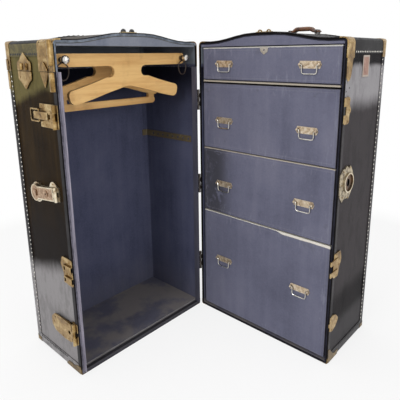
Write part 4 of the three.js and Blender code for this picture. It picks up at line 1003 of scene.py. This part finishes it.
# Nail heads that hold the corner caps
low_caps = [(12, 12), (50, 12), (266, 12)]
lid_caps = [(266, 1010), (266, 966)]
front_caps = [(14, 1020), (34, 1020), (14, 992), (15, 926), (266, 1010), (266, 992)]
for body, half, places in (
    ("hanging_half", hanging, low_caps),
    ("lid", hanging, lid_caps),
    ("drawer_half", drawers, low_caps + front_caps),
):
    heads = gathered(domes(face(half), places, CAP_NAIL, 1.1, sides=10) for face in (lock_side, hinge_side))
    piece(body + "_cap_nails", heads, body, brass)

# Cloth on the gable boards over the openings
FASCIA_FOOT = 1018.6
FASCIA_TOP_GAP = WALL + 1.5
FASCIA_SIDE = 12
FASCIA_BACK = -0.95
FASCIA_FRONT = -0.45
FASCIA_STEPS = 28
span = WIDTH - 2 * FASCIA_SIDE
crown = [FASCIA_SIDE + span * step / FASCIA_STEPS for step in range(FASCIA_STEPS + 1)]
top_line = [(across, roof_at(across) - FASCIA_TOP_GAP) for across in crown]
fascia = [(crown[0], FASCIA_FOOT), (crown[-1], FASCIA_FOOT)] + top_line[::-1]
for name, half, body, cloth in (
    ("lid_fascia", hanging, "lid", lid_cloth_lit), ("drawer_fascia", drawers, "drawer_half", divider_cloth),
):
    board = slab(opening(half), fascia, FASCIA_BACK, FASCIA_FRONT)
    piece(name, board, body, cloth, smooth=False)


# Brass straps round the back corners, above and below the lid's seam

CORNER = 16
LEG_ROUNDING = 0.6
STRAP_START = 266
STRAP_END = 308
STRAP_TAPER = 8
STRAP_STEPS = 12


def round_back(lock):
    """Along a side of the hanging half, round its back corner and along the back, and up."""
    straight = DEPTH - CORNER
    arc = CORNER * math.pi / 2

    def place(along, up, out=0):
        turn = min(max((along - straight) / CORNER, 0), math.pi / 2)
        beyond = max(along - straight - arc, 0)
        across = CORNER - (CORNER + out) * math.cos(turn) + beyond
        inward = min(along, straight) + (CORNER + out) * math.sin(turn)
        return hanging(across if lock else WIDTH - across, inward, up)

    return place


def strap_spans(low, high):
    """A strap's places along with its edges at each. It widens over its first stretch."""
    spans = []
    middle = (low + high) / 2
    for step in range(STRAP_STEPS + 1):
        along = STRAP_START + (STRAP_END - STRAP_START) * step / STRAP_STEPS
        share = min((along - STRAP_START) / STRAP_TAPER, 1)
        half_height = (high - low) / 2 * (0.62 + 0.38 * math.sin(math.pi / 2 * share))
        spans.append((along, middle - half_height, middle + half_height))
    return spans


for which in ("lock", "hinge"):
    corner = round_back(which == "lock")
    for name, body, low, high, bottom, top in (
        ("back_strap_lower", "hanging_half", 893, BELOW_SEAM, PLATE_FOOT, ON_PLATE),
        ("back_strap_upper", "lid", ABOVE_SEAM, 984, 1.3, 3.2),
    ):
        strap = band(corner, strap_spans(low, high), bottom, top)
        piece(f"{name}_{which}", strap, body, brass, smooth=False, rounding=LEG_ROUNDING)

# Brass legs and gussets at the corners
cap_leg = [
    (0.6, 983), (43, 983), (35, 976), (34, 960), (33, 944), (29, 930), (22, 918), (14, 914), (7, 917),
    (0.6, 924),
]
foot_gusset = [(1, 3), (70, 3), (66, 12), (50, 18), (36, 24), (24, 36), (14, 50), (6, 54), (1, 54)]
low_gusset = [(1, 3), (86, 3), (82, 12), (66, 18), (40, 20), (20, 28), (8, 30), (1, 30)]
for which, face in (("lock", lock_side), ("hinge", hinge_side)):
    for name, half, outline, top, body, metal in (
        ("cap_leg", drawers, cap_leg, 1.6, "drawer_half", brass),
        ("foot_gusset", drawers, foot_gusset, 1.5, "drawer_half", old_brass),
        ("low_gusset", hanging, low_gusset, 1.5, "hanging_half", old_brass),
    ):
        leg = slab(face(half), curved(outline), PLATE_FOOT, top)
        piece(f"{name}_{which}", leg, body, metal, smooth=False, rounding=LEG_ROUNDING)

# A dark sheet in the hollow that the notch plate leaves open, as painted shade
hollow = slab(right_face, [(0.4, 820.6), (10.5, 820.6), (10.5, 844.4), (0.4, 844.4)], 0.04, 0.3)
piece("notch_hollow_shade", hollow, "drawer_half", dark_stud, smooth=False)

# Empty screw holes below the drawer half's corner cap, as dark discs of painted shade
for name, spot, bottom in (("hole_low", (8, 887), 0), ("hole_high", (31, 896), -BINDING)):
    piece(name, domes(right_face, [spot], SCREW_HOLE_SHADE, bottom, rings=2), "drawer_half", dark_stud)


# Screws

RAIL_PLATE = 3.3
PULL_PLATE = 1.3
PULL_SCREW_REACH = 14
LEAF_MIDDLE = 18
LEAF_SCREW_PITCH = 25
HINGE_SHARES = (0.803, 0.495, 0.186)


def inner_back(along, up, out=0):
    return hanging(along, DEPTH - WALL - RAIL_PLATE - out, up)


def pull_face(along, up, out=0):
    return drawers(along, PULL_PLATE - out, up)


leaf_screws = [
    (LEAF_MIDDLE, share * SHOULDER + step * LEAF_SCREW_PITCH)
    for share in HINGE_SHARES for step in (-1, 0, 1)
]
back_screws = [(50, 12), (50, 26), (505, 12), (505, 26)]
screws = {
    "hanging_half": [
        (hinge_side(hanging), leaf_screws, ON_PLATE),
        (inner_back, [(43, 905), (43, 985), (512, 905), (512, 985)], SUNK),
        (back_side(hanging), [(along, SEAM - drop) for along, drop in back_screws], 1.9),
    ],
    "drawer_half": [(hinge_side(drawers), leaf_screws, ON_PLATE)],
    "lid": [(back_side(hanging), [(along, SEAM + rise) for along, rise in back_screws], 1.9)],
}
for body, groups in screws.items():
    heads = gathered(domes(face, places, SCREW, start) for face, places, start in groups)
    piece(body + "_screws", heads, body, nickel)
for name in drawer_wear:
    for side_name in ("left", "right"):
        low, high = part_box(f"{name}_pull_{side_name}")
        middle = ((low + high) / 2 - drawers(0, 0, 0)) / MM
        places = [(middle.x + reach, middle.z) for reach in (-PULL_SCREW_REACH, PULL_SCREW_REACH)]
        heads = domes(pull_face, places, PULL_SCREW, SUNK)
        piece(f"{name}_pull_screws_{side_name}", heads, name, bronze)


# Leather handle: a padded strap with flat ends and two rows of stitches

HANDLE_MIDDLE = 245
HANDLE_HALF = 63.5
CLIMB_HALF = 47
STRAP_BASE = SHOULDER + RIDGE_RISE + 4
STRAP_RISE = 10
STRAP_THICK = 6
FLAT_HALF_WIDTH = 12.2
FLAT_HALF_THICK = 2.7
PADDED_NARROWER = 0.7
PADDED_THICKER = 5
FULLEST = 0.9
SQUARE_BESIDE = 0.45
SQUARE_RAISED = 0.8
PINCHED_END = 0.35
STITCH_BESIDE = 0.68
STITCH_RAISED = 0.97
STITCH_PITCH = 5.2
STITCH_LENGTH = 3.4
STITCH_RADIUS = 0.55
STITCH_STEPS = 4
STITCH_SIDES = 6


def strap_line(across):
    """How high the middle of the strap lies, and how much of its padding it has there."""
    share = min(abs(across) / CLIMB_HALF, 1)
    climbed = min(2 * (1 - share), 1)
    lift = STRAP_RISE * (1 - math.cos(math.pi * climbed)) / 2
    return STRAP_BASE + STRAP_THICK / 2 + lift, (1 - share ** 4) * FULLEST


def strap_place(across, beside, raised):
    """A place on the strap from its middle, in shares of its half width and depth."""
    up, padding = strap_line(across)
    ahead, behind = strap_line(across + 0.5)[0], strap_line(across - 0.5)[0]
    lean = math.atan(ahead - behind)
    width = FLAT_HALF_WIDTH - PADDED_NARROWER * padding
    rise = (FLAT_HALF_THICK + PADDED_THICKER * padding) * raised
    along = WIDTH / 2 + across - math.sin(lean) * rise
    return drawers(along, HANDLE_MIDDLE + width * beside, up + math.cos(lean) * rise)


def strap_shape(stations=48, sides=20):
    points = []
    for station in range(stations + 1):
        across = HANDLE_HALF * (2 * station / stations - 1)
        close = 1 - PINCHED_END * (abs(across) > HANDLE_HALF - 0.1)
        for side in range(sides):
            turn = math.tau * side / sides
            beside = math.copysign(abs(math.cos(turn)) ** SQUARE_BESIDE, math.cos(turn)) * close
            raised = math.copysign(abs(math.sin(turn)) ** SQUARE_RAISED, math.sin(turn)) * close
            points.append(strap_place(across, beside, raised))
    return tube(points, sides)


def stitch(start, beside):
    """One stitch along the strap, thickest in its middle."""
    points = []
    for step in range(STITCH_STEPS + 1):
        spot = strap_place(start + step * STITCH_LENGTH / STITCH_STEPS, beside, STITCH_RAISED)
        swell = STITCH_RADIUS * MM * (0.5 + 0.5 * math.sin(math.pi * step / STITCH_STEPS))
        for side in range(STITCH_SIDES):
            turn = math.tau * side / STITCH_SIDES
            points.append(spot + Vector((0, swell * math.cos(turn), swell * math.sin(turn))))
    return tube(points, STITCH_SIDES)


handle = piece("leather_handle", strap_shape(), "drawer_half", leather)
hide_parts("handle_strap")
sewn_half = CLIMB_HALF - 6
stitches = gathered(
    stitch(-sewn_half + index * STITCH_PITCH, beside)
    for beside in (-STITCH_BESIDE, STITCH_BESIDE) for index in range(int(2 * sewn_half / STITCH_PITCH))
)
piece("handle_stitches", stitches, "drawer_half", thread)


# Floor and studio, both white where the camera sees them. The floor keeps the trunk's shadow.

WHITE = (1, 1, 1, 1)
FLOOR_REACH = 40
FLOOR_TONES = ((0.94, 0.94, 0.94, 1), (0.97, 0.97, 0.97, 1))
SKY_LIGHT = 0.5

floor_mesh = bpy.data.meshes.new("floor")
corners = [(x * FLOOR_REACH, y * FLOOR_REACH, 0) for x, y in ((-1, -1), (1, -1), (1, 1), (-1, 1))]
floor_mesh.from_pydata(corners, [], [(0, 1, 2, 3)])
floor = placed("floor", floor_mesh)
ground = Finish("pale_floor", Specular_IOR_Level=0.2, Roughness=0.8)
floor_tone = ground.tint(ground.cloud(3, 4, 0.55), FLOOR_TONES, 0, 1)
ground.feed(ground.shader.inputs["Base Color"], floor_tone)
far = ground.vectors("LENGTH", ground.place(), output="Value").between(0.8, 1.8)
lit = Wire(ground, ground.shader.outputs[0])
ground.end((far | 0.8) * ground.seen(), lit, ground.node("Emission", {}, {"Color": WHITE, "Strength": 1}))
floor_mesh.materials.append(ground.material)

world = bpy.data.worlds.new("studio")
scene.world = world
world.use_nodes = True
sky = Nodes(world.node_tree)
light, backdrop = [
    sky.node("Background", {}, {"Color": WHITE, "Strength": strength}) for strength in (SKY_LIGHT, 1)
]
sky.end(sky.seen(), light, backdrop)


# Lamps and camera

LIT_MIDDLE = Vector((0, 0, 0.5))


def lamp(name, place, size, watts):
    data = bpy.data.lights.new(name, "AREA")
    data.shape = "DISK"
    data.size = size
    data.energy = watts
    made = placed(name, data)
    made.location = place
    made.rotation_euler = (LIT_MIDDLE - Vector(place)).to_track_quat("-Z", "Y").to_euler()


lamp("key", (0.3, -3.4, 2.2), 1.4, 50)
lamp("fill", (3.2, -0.4, 1.8), 2.0, 22)
lamp("top", (-0.4, 0.2, 3.6), 2.2, 30)

# Where the camera stood from the foot of the case's hinge pin, by a fit to the photograph
HINGE_PIN = hanging(WIDTH + 6, -0.5, 0)
CAMERA_AHEAD = 1.091
CAMERA_BESIDE = 1.165
CAMERA_HEIGHT = 0.991
AZIMUTH = 42.14
TILT_DOWN = 13.8
ROLL = -0.53

camera_data = bpy.data.cameras.new("view")
camera_data.sensor_width = 36
camera_data.lens = 38.97
camera_data.shift_x = -0.01625
camera_data.shift_y = -0.097
camera = placed("view", camera_data)
camera.location = (HINGE_PIN.x + CAMERA_AHEAD, HINGE_PIN.y - CAMERA_BESIDE, CAMERA_HEIGHT)
turned = Euler((math.radians(90 - TILT_DOWN), 0, math.radians(AZIMUTH))).to_matrix()
rolled = Matrix.Rotation(math.radians(ROLL), 3, "Z")
camera.rotation_euler = (turned @ rolled).to_euler()
scene.camera = camera
scene.view_settings.view_transform = "Standard"
